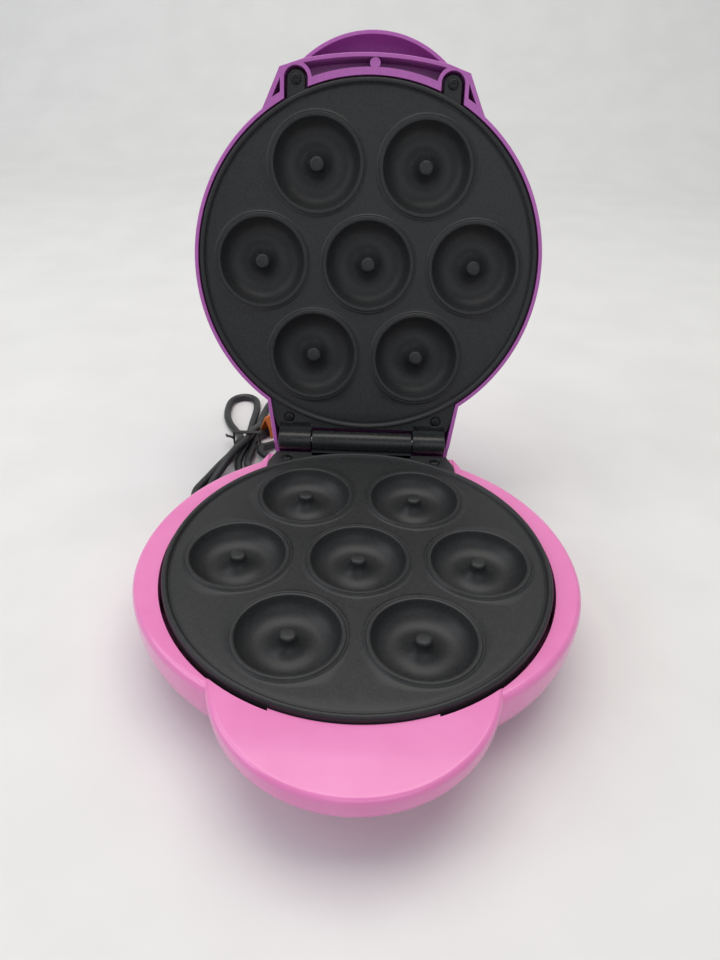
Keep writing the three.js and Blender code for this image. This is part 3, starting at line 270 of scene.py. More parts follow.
STEPS_PER_SPAN = 8
CORD_SIDES = 20
line = smooth_line(CORD_ROUTE, STEPS_PER_SPAN)
cord_shell = swept(*closed_ends(line, CORD_WIDTH / 2), CORD_SIDES)
cord = piece("mains_lead", mesh_of("mains_lead", *cord_shell), vinyl, "base", "cord_pvc", "power_cord_lead",
             "power_cord_first_loop", "power_cord_second_loop", "power_cord_plug_end", "power_cord_hank")

# ---- Cooking plates ------------------------------------------------------------------
# Two die-cast aluminium plates with seven ring pockets, coated with black non-stick. Each has a
# raised rim with a groove inside it, and a low double bead round every pocket.

joint = frame["joints"][0]
HINGE_Y, HINGE_Z = joint["pos_m"][1] / MM, joint["pos_m"][2] / MM
OPEN_ANGLE = math.radians(-joint["range_deg"][1])
reflector_low, reflector_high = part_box("lower_reflector")
PLATE_Y = (reflector_low.y + reflector_high.y) / 2 / MM
plate_low, plate_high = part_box("lower_plate")
PLATE_R = (plate_high.x - plate_low.x) / 2 / MM
MATE = 47.0
PITCH = 59.0
DECK = -1.5
DECK_BACK = -4.5
SKIRT_Z = -7.0
DECK_R = PLATE_R - 4.6


def on_base(points, rise=0.0):
    """Points about the plates' axis, raised by rise, put in the part's frame."""
    return np.asarray(points, float) + [0, PLATE_Y, rise]


def on_lid(points):
    """Points of the closed lid, turned back about the hinge to where the open lid stands."""
    at = np.asarray(points, float) + [0, PLATE_Y, 0] - [0, HINGE_Y, HINGE_Z]
    cos, sin = math.cos(OPEN_ANGLE), math.sin(OPEN_ANGLE)
    turn = np.array([[1, 0, 0], [0, cos, -sin], [0, sin, cos]])
    return at @ turn.T + [0, HINGE_Y, HINGE_Z]


def under_lid(points):
    """Points of a plate that faces up, turned over to face down and put in the lid."""
    return on_lid(np.asarray(points, float) * [-1, 1, -1] + [0, 0, MATE])


# The pocket's section from the peg's middle to the bead: [distance from its axis, height]
PEG = [(0, -0.75), (2.3, -0.78), (3.2, -0.95), (3.75, -1.4), (3.95, -2.2)]
TROUGH = [(3.95, -2.2), (4.2, -4.0), (5.2, -6.1), (7.6, -8.5), (10.6, -9.75), (13.8, -10.0), (16.8, -9.3),
          (19.6, -7.6), (21.6, -5.1), (22.7, -2.6), (23.2, -1.1)]
LIP = [(23.45, -0.6), (23.9, -0.4), (24.6, -0.35), (25.2, -0.45), (25.5, -0.85), (25.75, -1.05),
       (26.0, -0.95), (26.35, -0.95), (26.65, -1.2), (27.0, -1.45)]
# The cup's back, and the rim from the deck's edge to the bottom of the skirt
CUP_BACK = np.array([(0, -12.8), (16, -12.8), (22.5, -9), (25.4, -5.2), (27, -4.5), (200, -4.5)])
RIM = [(0, 0), (0.5, -0.12), (0.95, -0.42), (1.3, -0.42), (1.6, 0.1), (1.95, 0.75), (2.4, 1.1), (2.95, 1.2),
       (3.5, 1.14), (4.0, 0.85), (4.35, 0.35), (4.55, -0.3), (4.6, -1.2), (4.6, SKIRT_Z - DECK + 0.4),
       (4.2, SKIRT_Z - DECK), (2.6, SKIRT_Z - DECK), (2.2, SKIRT_Z - DECK + 0.4), (2.2, DECK_BACK - DECK)]
ARC_STEPS, SIDE_STEPS, INNER_STEPS = 48, 24, 16


def cell(centre):
    """One pocket's share of the deck: angles round its axis, and the distance to the share's edge at each.
    The edge is halfway to each neighbour, or the deck's round edge. Outer shares point along +X."""
    if centre:
        angles = np.radians(np.arange(6 * INNER_STEPS) * 60 / INNER_STEPS - 30)
        turn = (angles + math.pi / 6) % (math.pi / 3) - math.pi / 6
        return angles, PITCH / 2 / np.cos(turn)
    corner = math.atan2(DECK_R / 2, DECK_R * math.cos(math.pi / 6) - PITCH)
    inner = math.radians(150)
    arc = np.linspace(-corner, corner, ARC_STEPS, endpoint=False)
    side = np.linspace(corner, inner, SIDE_STEPS, endpoint=False)
    middle = np.linspace(inner, 2 * math.pi - inner, INNER_STEPS, endpoint=False)
    last = np.linspace(2 * math.pi - inner, 2 * math.pi - corner, SIDE_STEPS, endpoint=False)
    reach = [
        -PITCH * np.cos(arc) + np.sqrt(DECK_R**2 - (PITCH * np.sin(arc)) ** 2),
        PITCH / 2 / np.cos(side - math.radians(120)),
        PITCH / 2 / np.cos(middle - math.pi),
        PITCH / 2 / np.cos(last - math.radians(240)),
    ]
    return np.concatenate([arc, side, middle, last]), np.concatenate(reach)


def share_of_deck(index, upper):
    """The pocket's rings and the deck round it, seen from above or from behind: radius r and height z of each
    ring carry round the pocket's axis, and the last rings stretch out to the share's edge."""
    angles, reach = cell(index == 0)
    section = np.array(PEG + smooth_line(TROUGH, 3)[1:-1].tolist() + [TROUGH[-1]] + LIP)
    height = section[:, 1] if upper else np.interp(section[:, 0], *CUP_BACK.T)
    radius = np.broadcast_to(section[:, :1], (len(section), len(angles)))
    outwards = np.array([0.25, 0.6, 1.0])[:, None]
    radius = np.vstack([radius, section[-1, 0] + outwards * (reach - section[-1, 0])])
    flat = DECK if upper else DECK_BACK
    height = np.concatenate([height, np.full(3, flat)])[:, None] + 0 * radius
    turn = 0 if index == 0 else (index - 1) * math.pi / 3
    x = radius * np.cos(angles) + (PITCH if index else 0)
    y = radius * np.sin(angles)
    cos, sin = math.cos(turn), math.sin(turn)
    rings = np.stack([x * cos - y * sin, x * sin + y * cos, height], -1)
    return rings.reshape(-1, 3), net(*radius.shape)


def rim():
    """The groove, the rounded rim and the skirt: the deck's edge points move outwards along their radius."""
    angles, reach = (part[:ARC_STEPS] for part in cell(False))
    x, y = reach * np.cos(angles) + PITCH, reach * np.sin(angles)
    turns = np.arange(6)[:, None] * math.pi / 3
    edge = (np.arctan2(y, x) + turns).ravel()
    out, rise = np.array(RIM)[:, 0, None], np.array(RIM)[:, 1, None]
    radius = DECK_R + out
    radius[-1] = DECK_R
    rings = np.stack([radius * np.cos(edge), radius * np.sin(edge), DECK + rise + 0 * edge], -1)
    return rings.reshape(-1, 3), net(len(RIM), len(edge))


def outline_inset(outline, inset):
    """An outline moved inwards by inset, square to the line through each point's two neighbours."""
    along = np.roll(outline, -1, 0) - np.roll(outline, 1, 0)
    along /= np.linalg.norm(along, axis=1)[:, None]
    return outline + inset * np.stack([-along[:, 1], along[:, 0]], 1)


def slab(outline, low, high, edge, bottom_edge=None):
    """An anticlockwise outline raised from low to high, its edges rounded by quarter circles."""
    bottom = edge if bottom_edge is None else bottom_edge
    turn = np.linspace(0, math.pi / 2, 6)
    steps = [(bottom * (1 - math.sin(t)), low + bottom * (1 - math.cos(t))) for t in turn]
    steps += [(edge * (1 - math.cos(t)), high - edge * (1 - math.sin(t))) for t in turn]
    rings = [np.column_stack([outline_inset(outline, inset), np.full(len(outline), z)]) for inset, z in steps]
    middle = outline.mean(0)
    ends = [np.tile([*middle, z], (len(outline), 1)) for z in (low, high)]
    return np.vstack([ends[0], *rings, ends[1]]), net(len(rings) + 2, len(outline))


def rounded(corners, radii, steps=6):
    """A polygon with rounded corners: each is a quadratic curve that starts and ends radius away from it."""
    corners = np.asarray(corners, float)
    before, after = np.roll(corners, 1, 0) - corners, np.roll(corners, -1, 0) - corners
    radii = np.broadcast_to(radii, len(corners))[:, None]
    start = corners + before / np.linalg.norm(before, axis=1)[:, None] * radii
    end = corners + after / np.linalg.norm(after, axis=1)[:, None] * radii
    t = np.linspace(0, 1, steps)[None, :, None]
    curve = (1 - t) ** 2 * start[:, None] + 2 * t * (1 - t) * corners[:, None] + t**2 * end[:, None]
    return curve.reshape(-1, 2)


def turned(profile, x=0.0, y=0.0, sides=48):
    """A profile of [radius, height] turned about an upright axis at (x, y)."""
    profile = np.asarray(profile, float)
    turn = np.linspace(0, 2 * math.pi, sides, endpoint=False)
    radius = profile[:, :1]
    rings = np.stack([x + radius * np.cos(turn), y + radius * np.sin(turn), profile[:, 1:] + 0 * turn], -1)
    return rings.reshape(-1, 3), net(len(profile), sides)


def along_x(shell, y, z):
    """An upright turned shell laid along X, its axis at (y, z)."""
    points, faces = shell
    return np.stack([points[:, 2], points[:, 0] + y, points[:, 1] + z], 1), faces


TAIL = rounded([(54, 75), (54.4, 84), (50.5, PLATE_R + 0.5), (-50.5, PLATE_R + 0.5), (-54.4, 84), (-54, 75)],
               [0.5, 3, 1.2, 1.2, 3, 0.5])
TAIL_TOP = -1.8
TAIL_BACK = -4.8
EAR_X = 41.0
EAR_Y = PLATE_R - 2.5
EAR_HALF = 4.75
HINGE_BACK = HINGE_Y - PLATE_Y
KNUCKLE_R = 6.0
KNUCKLE_SPLIT = 30.0
KNUCKLE_END = 49.6
KNUCKLE_GAP = 0.3
PIN_R = 2.5
BARREL_SIDES = 56


def barrel(start, end, height):
    """A hinge knuckle: a tube round the pin with rounded mouths, laid along X."""
    profile = [(PIN_R + 0.2, start + 0.6), (PIN_R + 0.5, start),
               (KNUCKLE_R - 0.7, start), (KNUCKLE_R - 0.2, start + 0.2), (KNUCKLE_R, start + 0.7),
               (KNUCKLE_R, end - 0.7), (KNUCKLE_R - 0.2, end - 0.2), (KNUCKLE_R - 0.7, end),
               (PIN_R + 0.5, end), (PIN_R + 0.2, end - 0.6)]
    points, _ = turned(profile, sides=BARREL_SIDES)
    return along_x((points, net(len(profile), BARREL_SIDES, closed=True)), HINGE_BACK, height)


def web(start, end):
    """The flat neck that joins a knuckle to the tail."""
    corners = [(start, PLATE_R - 3), (end, PLATE_R - 3), (end, HINGE_BACK), (start, HINGE_BACK)]
    return slab(rounded(corners, 0.4, 3), TAIL_BACK, TAIL_TOP, 0.3)


def cut(mesh, cutters, operation="DIFFERENCE"):
    """The mesh with each closed cutter taken away, or joined on, by an exact boolean."""
    body = bpy.data.objects.new("being_cut", mesh)
    bpy.context.scene.collection.objects.link(body)
    for points, faces in cutters:
        tool = bpy.data.objects.new("cutter", mesh_of("cutter", points, faces))
        bpy.context.scene.collection.objects.link(tool)
        step = body.modifiers.new("cut", "BOOLEAN")
        step.operation, step.solver, step.object = operation, "MANIFOLD", tool
        graph = bpy.context.evaluated_depsgraph_get()
        done = bpy.data.meshes.new_from_object(body.evaluated_get(graph))
        if len(done.polygons) == 0:
            raise ValueError(f"{mesh.name}: the cut left nothing")
        body.modifiers.clear()
        body.data = done
        bpy.data.objects.remove(tool)
    done.name = mesh.name
    bpy.data.objects.remove(body)
    return done


def parts_of(mesh):
    """A mesh's points in millimetres, and its faces."""
    return np.array([v.co for v in mesh.vertices]) / MM, [list(p.vertices) for p in mesh.polygons]


# PTFE non-stick baked on cast aluminium: near-black, satin, with a fine orange-peel grain and
# pale flecks. The barrel was polished before coating, so it is glossier.
def coated(name, rough, grain_mm, bump_mm):
    """The coating: fine grain in colour, gloss and height."""
    look, tree, shader, place = finish_of(name, IOR=1.38, Specular_IOR_Level=0.5)
    mottled(tree, shader, place, "#222324", "#2c2d2e", grain_mm, rough, bump_mm, 4.0)
    return look


nonstick = coated("baked non-stick on cast aluminium", (0.36, 0.5), 1.1, 0.022)
polished = coated("non-stick on a polished barrel", (0.2, 0.32), 2.0, 0.008)

EAR_ROOT = 14


def ear(side):
    """A screw ear: a tongue with a half-round tip, its middle at the screw."""
    x, turn = side * EAR_X, np.linspace(math.pi, 2 * math.pi, 24)
    root = [[x + EAR_HALF, -EAR_Y + EAR_ROOT], [x - EAR_HALF, -EAR_Y + EAR_ROOT]]
    tip = np.stack([x + EAR_HALF * np.cos(turn), -EAR_Y + EAR_HALF * np.sin(turn)], 1)
    return slab(np.vstack([root, tip]), TAIL_BACK, TAIL_TOP, 0.5)


casting = [share_of_deck(index, True) for index in range(7)] + [rim()]
casting += [share_of_deck(index, False) for index in range(7)]
tail = slab(TAIL, TAIL_BACK, TAIL_TOP, 0.4)
screw_rear_low, screw_rear_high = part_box("lower_plate_screw_rear_right")
SCREW_X = (screw_rear_low.x + screw_rear_high.x) / 2 / MM
SCREW_Y = (screw_rear_low.y + screw_rear_high.y) / 2 / MM - PLATE_Y
SCREW_HEAD_R = 2.75
SCREW_SEAT = TAIL_TOP - 1.2
SINK_R = SCREW_HEAD_R + 0.35
SINK_MOUTH_R = SCREW_HEAD_R + 0.9
SINK = [(0, SCREW_SEAT), (SINK_R, SCREW_SEAT), (SINK_R, TAIL_TOP - 0.35), (SINK_MOUTH_R, TAIL_TOP + 0.2),
        (SINK_MOUTH_R, 1), (0, 1)]
sinks = [turned(SINK, side * SCREW_X, SCREW_Y, 40) for side in (-1, 1)]


def plate_tail(name, extras, put, look, body):
    """The tail with its sunk screw seats, and whatever else is cast with it."""
    points, faces = gathered([parts_of(cut(mesh_of(name, *tail), sinks)), *extras])
    return piece(name, mesh_of(name, put(points), faces), look, body, "plate_nonstick")


def lower_put(points):
    """Points of a plate that faces up, put in the base."""
    return on_base(points, MATE)


casting_points, casting_faces = gathered(casting)
piece("plate_lower", mesh_of("plate_lower", lower_put(casting_points), casting_faces), nonstick, "base",
      "plate_nonstick", "lower_plate")
piece("plate_upper", mesh_of("plate_upper", under_lid(casting_points), casting_faces), nonstick, "lid",
      "plate_nonstick", "upper_plate")
RISE = HINGE_Z - MATE
CENTRE = (-KNUCKLE_SPLIT + KNUCKLE_GAP, KNUCKLE_SPLIT - KNUCKLE_GAP)
LEFT = (-KNUCKLE_END, -KNUCKLE_SPLIT - KNUCKLE_GAP)
RIGHT = (KNUCKLE_SPLIT + KNUCKLE_GAP, KNUCKLE_END)
plate_tail("plate_lower_tail", [web(*CENTRE)], lower_put, nonstick, "base")
plate_tail("plate_upper_tail", [web(*RIGHT), web(*LEFT), ear(-1), ear(1)], under_lid, nonstick, "lid")
points, faces = barrel(*CENTRE, RISE)
piece("hinge_barrel_centre", mesh_of("barrel", lower_put(points), faces), polished, "base", "plate_nonstick")
for name, (start, end) in (("left", LEFT), ("right", RIGHT)):
    points, faces = barrel(start, end, RISE)
    points = on_lid(points + [0, 0, MATE])
    piece(f"hinge_barrel_{name}", mesh_of("barrel", points, faces), polished, "lid", "plate_nonstick")

# ---- Hinge pin and screws ------------------------------------------------------------
# A plain steel pin with chamfered ends, and black-oxide pan-head screws with a cross recess.

pin_profile = [(0, -KNUCKLE_END), (PIN_R - 0.5, -KNUCKLE_END), (PIN_R, -KNUCKLE_END + 0.5),
               (PIN_R, KNUCKLE_END - 0.5), (PIN_R - 0.5, KNUCKLE_END), (0, KNUCKLE_END)]
# Zinc-plated drawn steel: bright grey, with lengthwise drawing lines
steel, tree, shader, place = finish_of("zinc-plated drawn steel", Metallic=1.0)
mottled(tree, shader, place, "#8b8d90", "#aeb0b2", 0.9, (0.25, 0.42), 0.01)
points, faces = along_x(turned(pin_profile, sides=40), HINGE_BACK, RISE)
piece("pin", mesh_of("pin", lower_put(points), faces), steel, "base", "steel", "hinge_pin")

# Black-oxide steel: almost black, dull gloss, paler where the driver has rubbed
black_steel, tree, shader, place = finish_of("black-oxide steel", Metallic=0.6)
mottled(tree, shader, place, "#151617", "#2b2c2e", 0.5, (0.3, 0.5), 0.01)


def screw_shells():
    """A pan-head screw, the underside of its head at height 0, and the two arms of the cross cut in it."""
    head = [(0, 1.45), (1.2, 1.42), (2.1, 1.25), (2.6, 0.95), (2.75, 0.6), (2.75, 0.15), (2.6, 0), (1.45, 0),
            (1.45, -10.2), (0.8, -11), (0, -11)]
    arm = [np.array([(w, -l), (w, l), (-w, l), (-w, -l)], float) for w, l in ((0.3, 1.55), (1.55, 0.3))]
    return turned(head, sides=32), [slab(outline, 0.75, 2, 0.01) for outline in arm]


SEAT_GAP = 0.1


def screw(name, x, y, seat, put, body):
    """A screw seated at (x, y) on a face at that height."""
    (points, faces), cross = screw_shells()
    points, faces = parts_of(cut(mesh_of(name, points, faces), cross))
    points = points + [x, y, seat + SEAT_GAP]
    piece(f"screw_{name}", mesh_of(name, put(points), faces), black_steel, body, "screw_black", name)


for side, word in ((-1, "left"), (1, "right")):
    screw(f"lower_plate_screw_rear_{word}", side * SCREW_X, SCREW_Y, SCREW_SEAT, lower_put, "base")
    screw(f"upper_plate_screw_rear_{word}", -side * SCREW_X, SCREW_Y, SCREW_SEAT, under_lid, "lid")
    screw(f"upper_plate_screw_front_{word}", -side * EAR_X, -EAR_Y, TAIL_TOP, under_lid, "lid")

# ---- Base ----------------------------------------------------------------------------
# The lower housing, moulded in ABS and painted gloss pink: a bowl with a wide flange, a round
# lobe in front for a handle, and a tail under the hinge with a heel that the open lid leans on.

FLANGE_TOP = 42.5
HANDLE_TOP = 43.5
FOOT_TOP = 4.0
WALL = 2.4
BAND_Z = 32.5
BOWL_INSET = 26.0
FLANGE_SIDE, FLANGE_BACK, FLANGE_FRONT = PLATE_R + 14.5, PLATE_R + 11.5, PLATE_R + 1.8
HANDLE_R, HANDLE_Y = 62.4, -64.6
HEEL_X, HEEL_Y = 52.0, PLATE_R + 17.5
TAIL_EDGE = PLATE_R + 2.5
WELL_R = PLATE_R + 1.7
FRONT_WELL_R = PLATE_R + 0.55
FRONT_WELL_X = 34.0
COLLAR_R = 98.5
STOP_LEAN = -OPEN_ANGLE - math.pi / 2
STOP_REACH = 12.0


def stop_height(y):
    """Height at y of the slope that the open lid's back wall lies along, behind the hinge."""
    return RISE + MATE - STOP_REACH / math.cos(STOP_LEAN) - (y - HINGE_BACK) * math.tan(STOP_LEAN)


def flange_reach(angle):
    """The flange's outline: a half-ellipse behind and a shorter one in front."""
    reach = np.where(np.sin(angle) > 0, FLANGE_BACK, FLANGE_FRONT)
    return FLANGE_SIDE * reach / np.hypot(reach * np.cos(angle), FLANGE_SIDE * np.sin(angle))


def followed(steps, sides=160):
    """A closed body whose outline is the flange's, moved in by each step's inset at its height."""
    angle = np.linspace(0, 2 * math.pi, sides, endpoint=False)
    steps = np.asarray(steps, float)
    radius = flange_reach(angle) - steps[:, :1]
    rings = np.stack([radius * np.cos(angle), radius * np.sin(angle), steps[:, 1:] + 0 * angle], -1)
    ends = [np.tile([0, 0, z], (sides, 1)) for z in (steps[0, 1], steps[-1, 1])]
    return np.vstack([ends[0], *rings, ends[1]]), net(len(steps) + 2, sides)


def bowl(wall):
    """A quarter round from the floor to the upright band, then a quarter round over the flange's edge."""
    low, high = FOOT_TOP + wall, FLANGE_TOP - wall
    rise = np.linspace(0, math.pi / 2, 20)
    side = np.stack([wall + BOWL_INSET * (1 - np.sin(rise)), BAND_Z - (BAND_Z - low) * np.cos(rise)], 1)
    if wall:
        return followed(np.vstack([side, [wall, high]]))
    edge = np.stack([3.2 * (1 - np.cos(rise[::2])), high - 4 + 4 * np.sin(rise[::2])], 1)
    return followed(np.vstack([side, edge, [7, high]]))


def lobe(wall):
    """The handle: a round lobe, tucked in below, its top edge a quarter round."""
    low, high = HANDLE_TOP - 15 + wall, HANDLE_TOP - wall
    rise = np.linspace(0, math.pi / 2, 9)
    under = [(7 + wall, low), (4 + wall, low + 0.9), (1.5 + wall, low + 3), (0.4 + wall, low + 5),
             (wall, low + 7)]
    edge = np.stack([2.6 * (1 - np.cos(rise)), high - 3 + 3 * np.sin(rise)], 1)
    top = [(wall, high)] if wall else edge.tolist()
    section = [(0, low)] + [(HANDLE_R - inset, z) for inset, z in [*under, *top]] + [(0, high)]
    return turned(section, 0, HANDLE_Y, 128)


def in_side_view(outline, start, end, edge):
    """An anticlockwise outline of [y, z] carried along X, with rounded edges."""
    points, faces = slab(np.asarray(outline, float), start, end, edge)
    return points[:, [2, 0, 1]], faces


def tail_body(wall):
    """The tapered box under the hinge, and the heel behind it, cut off along the stop slope."""
    top, side, deep, last = FLANGE_TOP + 0.5 - wall, 59 - wall, 54.7 - wall, TAIL_EDGE - wall
    outline = rounded([(side, PLATE_R - 25), (side, PLATE_R - 8.5), (deep, last), (-deep, last),
                       (-side, PLATE_R - 8.5), (-side, PLATE_R - 25)], [0.5, 2, 1, 1, 2, 0.5])
    heel = rounded([(PLATE_R - 30, FOOT_TOP + wall), (HEEL_Y - wall, FOOT_TOP + wall),
                    (HEEL_Y - wall, stop_height(HEEL_Y) - wall), (last, stop_height(last) - wall),
                    (PLATE_R - 30, stop_height(last) - wall)], [0.5, 1.5, 1.5, 1, 0.5])
    return [slab(outline, 18.4, top, 0.5 if not wall else 0.05),
            in_side_view(heel, -HEEL_X + wall, HEEL_X - wall, 1.2 if not wall else 0.05)]


def box(x0, x1, y0, y1, z0, z1, edge=0.02):
    """A block between those limits."""
    return slab(np.array([(x0, y0), (x1, y0), (x1, y1), (x0, y1)], float), z0, z1, edge)


def post(x, y, radius, low, high, sides=40):
    """An upright cylinder."""
    return turned([(0, low), (radius, low), (radius, high), (0, high)], x, y, sides)


def behind_hinge(wall):
    """The room over the stop slope, which the bowl gives up."""
    first, last = TAIL_EDGE - wall, HEEL_Y + 20
    outline = [(first, stop_height(first) - wall), (last, stop_height(last) - wall), (last, 90), (first, 90)]
    return in_side_view(outline, -PLATE_R, PLATE_R, 0.02)


# Gloss paint over ABS: clear even pink, with a slight orange peel and a few dust nibs
pink_paint, tree, shader, place = finish_of("gloss pink paint on ABS", IOR=1.5, Coat_Weight=0.35,
                                            Coat_Roughness=0.06)
mottled(tree, shader, place, "#e07ab4", "#e481ba", 22, (0.2, 0.26), 0.0, 2.0)
PEEL_SIZE = 2.2
PEEL_HEIGHT = 0.006
peel = add(tree, "ShaderNodeTexNoise", {"Scale": 1 / (PEEL_SIZE * MM), "Detail": 2.0},
           {"Vector": (place, "Object")})
bump = add(tree, "ShaderNodeBump", {"Distance": PEEL_HEIGHT * MM, "Strength": 1.0}, {"Height": (peel, "Fac")})
tree.links.new(bump.outputs["Normal"], shader.inputs["Normal"])

# A low round collar on the flange, outside the plate's edge
COLLAR_LOW, COLLAR_TOP = FLANGE_TOP - 6, FLANGE_TOP + 0.9
collar = turned([(WELL_R - 8, COLLAR_LOW), (COLLAR_R, COLLAR_LOW), (COLLAR_R, COLLAR_TOP - 0.4),
                 (COLLAR_R - 0.25, COLLAR_TOP - 0.1), (COLLAR_R - 0.6, COLLAR_TOP), (0, COLLAR_TOP),
                 (0, COLLAR_LOW)], sides=192)
outside = cut(mesh_of("shell_base", *bowl(0)), [behind_hinge(0)])
outside = cut(outside, [collar, lobe(0), *tail_body(0)], "UNION")
# Inside: the bowl, the lobe and the tail are hollow, and the plate's seat keeps its own wall
inner = cut(mesh_of("inside", *bowl(WALL)), [behind_hinge(WALL)])
inner = cut(inner, [lobe(WALL), *tail_body(WALL)], "UNION")
inner = cut(inner, [post(0, 0, WELL_R + 2, FLANGE_TOP - 9.5, MATE, 160)])
seat = cut(mesh_of("seat", *post(0, 0, WELL_R, FLANGE_TOP - 14, MATE, 160)),
           [in_side_view([(-120, 0), (0, 0), (0, 90), (-120, 90)], -FRONT_WELL_X, FRONT_WELL_X, 0.02)])
seat = cut(seat, [post(0, 0, FRONT_WELL_R, FLANGE_TOP - 14, MATE + 0.01, 160)], "UNION")

tail_slot = box(-54.9, 54.9, TAIL_EDGE - 28, TAIL_EDGE + 1, MATE + TAIL_BACK - 0.3, MATE + 9)
cord_hole = turned([(0, HEEL_Y - 12), (4.4, HEEL_Y - 12), (4.4, HEEL_Y + 1), (0, HEEL_Y + 1)], sides=32)
boot_low, boot_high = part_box("strain_relief")
LEAD_X, LEAD_Z = (boot_low.x + boot_high.x) / 2 / MM, (boot_low.z + boot_high.z) / 2 / MM


def along_y(shell, x, z):
    """An upright turned shell laid along Y, its axis at (x, z)."""
    points, faces = shell
    return np.stack([x - points[:, 0], points[:, 2], points[:, 1] + z], 1), faces


vents = [slab(rounded([(x - 1.5, -26), (x + 1.5, -26), (x + 1.5, 26), (x - 1.5, 26)], 1.4), 0, 9, 0.02)
         for x in (-18, -9, 0, 9, 18)]
shell = cut(outside, [parts_of(inner), parts_of(seat), tail_slot, along_y(cord_hole, LEAD_X, LEAD_Z), *vents])
points, faces = parts_of(shell)


def evenly_shaded(shell):
    """Corner normals weighted by face size, so that flat faces next to small roundings stay flat."""
    even = shell.modifiers.new("even shading", "WEIGHTED_NORMAL")
    even.keep_sharp = True


evenly_shaded(piece("shell_base", mesh_of("shell_base", on_base(points), faces), pink_paint, "base",
                    "shell_pink", "base_shell"))

# ---- Lid -----------------------------------------------------------------------------
# The upper housing, moulded in purple-pink ABS: a dome with a front block that holds the
# plate's ears, a crescent grip in front of it, and a tail round the hinge.

LID_R = PLATE_R + 2.5
LID_RIM = MATE + 0.4
LID_TOP = MATE + 43.5
LID_WALL = 2.0
BLOCK_TOP = MATE + 17
LID_BACK = HINGE_BACK + 9
BACK_WALL = 2.4
GRIP_R = 57.2
GRIP_Y = GRIP_R - 23.2 - PLATE_R
DOME = [(1.0, 0.0), (0.999, 0.1), (0.995, 0.2), (0.975, 0.42), (0.93, 0.62), (0.85, 0.78), (0.7, 0.9),
        (0.42, 0.975), (0.2, 0.995), (0.0, 1.0)]


def dome(wall):
    """The dome's curve of radius and height shares, turned; the outer one has a rounded rim."""
    curve = smooth_line(DOME, 5)
    radius, low = LID_R - wall, MATE - 2 if wall else LID_RIM
    height = LID_TOP - wall - MATE
    section = np.column_stack([radius * curve[:, 0], MATE + height * curve[:, 1]])
    section = section[section[:, 1] > low + 0.7]
    rim_edge = [(radius - 0.6, low), (radius - 0.2, low + 0.2), (radius, low + 0.6)]
    section = np.vstack([(0, low), *([(radius, low)] if wall else rim_edge), section])
    section[-1, 0] = 0
    return turned(section, sides=160)


def bow(inset, steps=24):
    """The front block's outline: two sloping shoulders and a shallow arc between them."""
    front, shoulder = PLATE_R + 10.8 - inset, PLATE_R + 6.8 - inset
    side, corner, half = 58.9 - inset * 1.2, 49.7 - inset * 0.9, 37.7
    radius = (half**2 + (front - shoulder) ** 2) / (2 * (front - shoulder))
    spread = math.asin(half / radius)
    turn = np.linspace(-spread, spread, steps)
    arc = np.stack([radius * np.sin(turn), radius - front - radius * np.cos(turn)], 1)
    root = -(PLATE_R - 18.2)
    bend = 4 - shoulder
    return np.vstack([(-side, root), (-corner, bend), arc, (corner, bend), (side, root)])


def grip(wall):
    """The crescent grip: a round lobe with a soft top edge, open below."""
    steps = [(wall, 8 if wall else 9), (wall, 12), (0.5 + wall, 14.5), (1.6 + wall, 17.5),
             (4.2 + wall, 21 - wall / 2), (7.5 + wall, 23 - wall * 0.8), (11.5 + wall, 24 - wall)]
    if not wall:
        steps[:1] = [(0.7, 9), (0.2, 9.2), (0, 9.7)]
    section = [(0, steps[0][1])] + [(GRIP_R - inset, z) for inset, z in steps] + [(0, steps[-1][1])]
    return turned(np.array(section) + [0, MATE], 0, GRIP_Y, 128)


def lid_tail(wall, low, high, edge):
    """The box round the plate's tail: wide at the dome and narrower at the back."""
    front, deep, last = 56.7 - wall, 51.3 - wall, LID_BACK + BACK_WALL - wall
    corners = [(front, PLATE_R - 17.6), (deep, last), (-deep, last), (-front, PLATE_R - 17.6)]
    return slab(rounded(corners, [0.5, 1.2, 1.2, 0.5]), low, high, edge)


def ear_pocket(side, grow):
    """The U-shaped pocket round a screw ear."""
    half, root = EAR_HALF + 1.5 + grow, -EAR_Y + 22
    turn = np.linspace(math.pi, 2 * math.pi, 24)
    tip = np.stack([side * EAR_X + half * np.cos(turn), -EAR_Y + half * np.sin(turn)], 1)
    outline = np.vstack([tip, [[side * EAR_X + half, root], [side * EAR_X - half, root]]])
    return slab(outline, MATE - 1, BLOCK_TOP - LID_WALL, 0.05)


whole = cut(mesh_of("shell_lid", *dome(0)), [slab(bow(0), LID_RIM, BLOCK_TOP, 0.5), grip(0),
                                             lid_tail(0, LID_RIM, MATE + 26, 0.6)], "UNION")
channel = cut(mesh_of("channel", *slab(bow(2), MATE - 1, BLOCK_TOP - LID_WALL, 0.3)),
              [post(0, 0, PLATE_R + 4.1, LID_RIM - 2, BLOCK_TOP, 160), ear_pocket(-1, 2), ear_pocket(1, 2)])
grip_room = cut(mesh_of("grip_room", *grip(LID_WALL)), [slab(bow(0), 0, 2 * MATE, 0.02)])
rear_cut = box(-60.3, 60.3, HINGE_BACK + 2, LID_BACK + BACK_WALL + 2, MATE - 2, MATE + RISE + 1)
lens_holes = [post(x, -46, 3.9, MATE + 20, LID_TOP + 9) for x in (-9, 9)]
whole = cut(whole, [dome(LID_WALL), lid_tail(LID_WALL, MATE - 2, MATE + 24, 0.05), parts_of(channel),
                    ear_pocket(-1, 0), ear_pocket(1, 0), parts_of(grip_room), rear_cut, *lens_holes])
whole = cut(whole, [post(0, -(PLATE_R + 6), 2.7, LID_RIM + 0.4, BLOCK_TOP - 1)], "UNION")

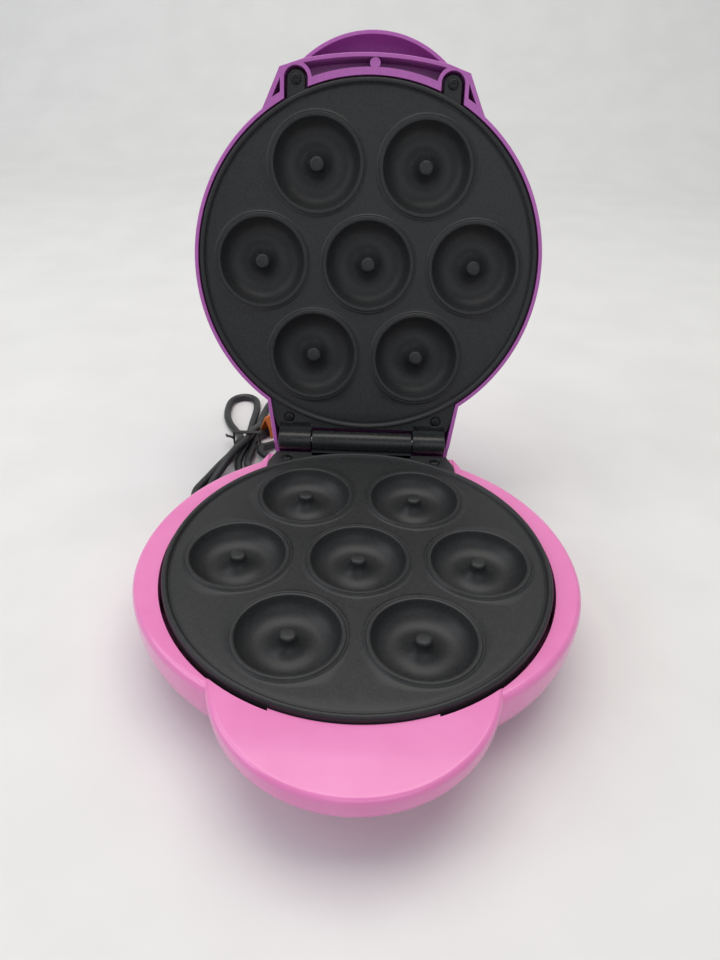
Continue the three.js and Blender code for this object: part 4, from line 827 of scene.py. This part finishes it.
# Raw ABS, coloured through: purple-pink, satin, moulded against a spark-eroded tool
raw_abs, tree, shader, place = finish_of("satin purple-pink ABS", IOR=1.54)
mottled(tree, shader, place, "#a957a6", "#b15fae", 1.4, (0.3, 0.42), 0.012)
points, faces = parts_of(whole)
evenly_shaded(piece("shell_lid", mesh_of("shell_lid", on_lid(points), faces), raw_abs, "lid", "shell_lid",
                    "lid_shell"))

# ---- Table, backdrop and light -------------------------------------------------------
# A white table top that turns up into a pale wall, under soft light from a window and a ceiling.

paper, tree, shader, place = finish_of("painted board", Roughness=0.75)
mottled(tree, shader, place, "#dcdcda", "#e0e0de", 60, (0.5, 0.62))
FLOOR_WIDTH, FRONT_EDGE, WALL_START, WALL_BEND, WALL_TOP = 3200, -1400, 900, 500, 2600
bend = np.linspace(0, math.pi / 2, 24)
curved = np.stack([WALL_START + WALL_BEND * np.sin(bend), WALL_BEND * (1 - np.cos(bend))], 1)
sweep = np.vstack([[FRONT_EDGE, 0], curved, [WALL_START + WALL_BEND, WALL_TOP]])
sheet = np.stack([np.stack([np.full(len(sweep), x), *sweep.T], 1) for x in (-FLOOR_WIDTH, FLOOR_WIDTH)])
near = np.arange(len(sweep) - 1)
far = near + len(sweep)
floor_mesh = bpy.data.meshes.new("floor")
floor_mesh.from_pydata((sheet.reshape(-1, 3) * MM).tolist(), [],
                       np.stack([near, far, far + 1, near + 1], 1).tolist())
floor_mesh.shade_smooth()
floor_mesh.materials.append(paper)
floor = bpy.data.objects.new("floor", floor_mesh)
bpy.context.scene.collection.objects.link(floor)


def window(name, place, aim, width, height, watts, tint):
    """A rectangular soft light at a place, turned to face aim."""
    lamp = bpy.data.objects.new(name, bpy.data.lights.new(name, "AREA"))
    lamp.data.shape = "RECTANGLE"
    lamp.data.size, lamp.data.size_y = width, height
    lamp.data.energy = watts
    lamp.data.color = colour(tint)[:3]
    away = np.array(place, float) - np.array(aim, float)
    away /= np.linalg.norm(away)
    side = np.cross([0, 0.3, 1], away)
    side /= np.linalg.norm(side)
    lamp.matrix_world = (Matrix.Translation(place)
                         @ Matrix(np.stack([side, np.cross(away, side), away], 1).tolist()).to_4x4())
    bpy.context.scene.collection.objects.link(lamp)


window("ceiling", (0.0, 0.25, 1.5), (0, 0, 0.05), 1.6, 1.1, 16, "#fffaf3")
window("window_left", (-1.3, -0.2, 1.0), (0, 0, 0.1), 1.0, 1.2, 7, "#f2f6ff")
window("front", (0.4, -1.5, 0.9), (0, 0, 0.1), 1.6, 0.9, 3.5, "#ffffff")
world = bpy.data.worlds.new("room")
world.use_nodes = True
world.node_tree.nodes["Background"].inputs["Color"].default_value = colour("#dfe3ea")
world.node_tree.nodes["Background"].inputs["Strength"].default_value = 0.55
bpy.context.scene.world = world
bpy.context.scene.view_settings.view_transform = "Standard"
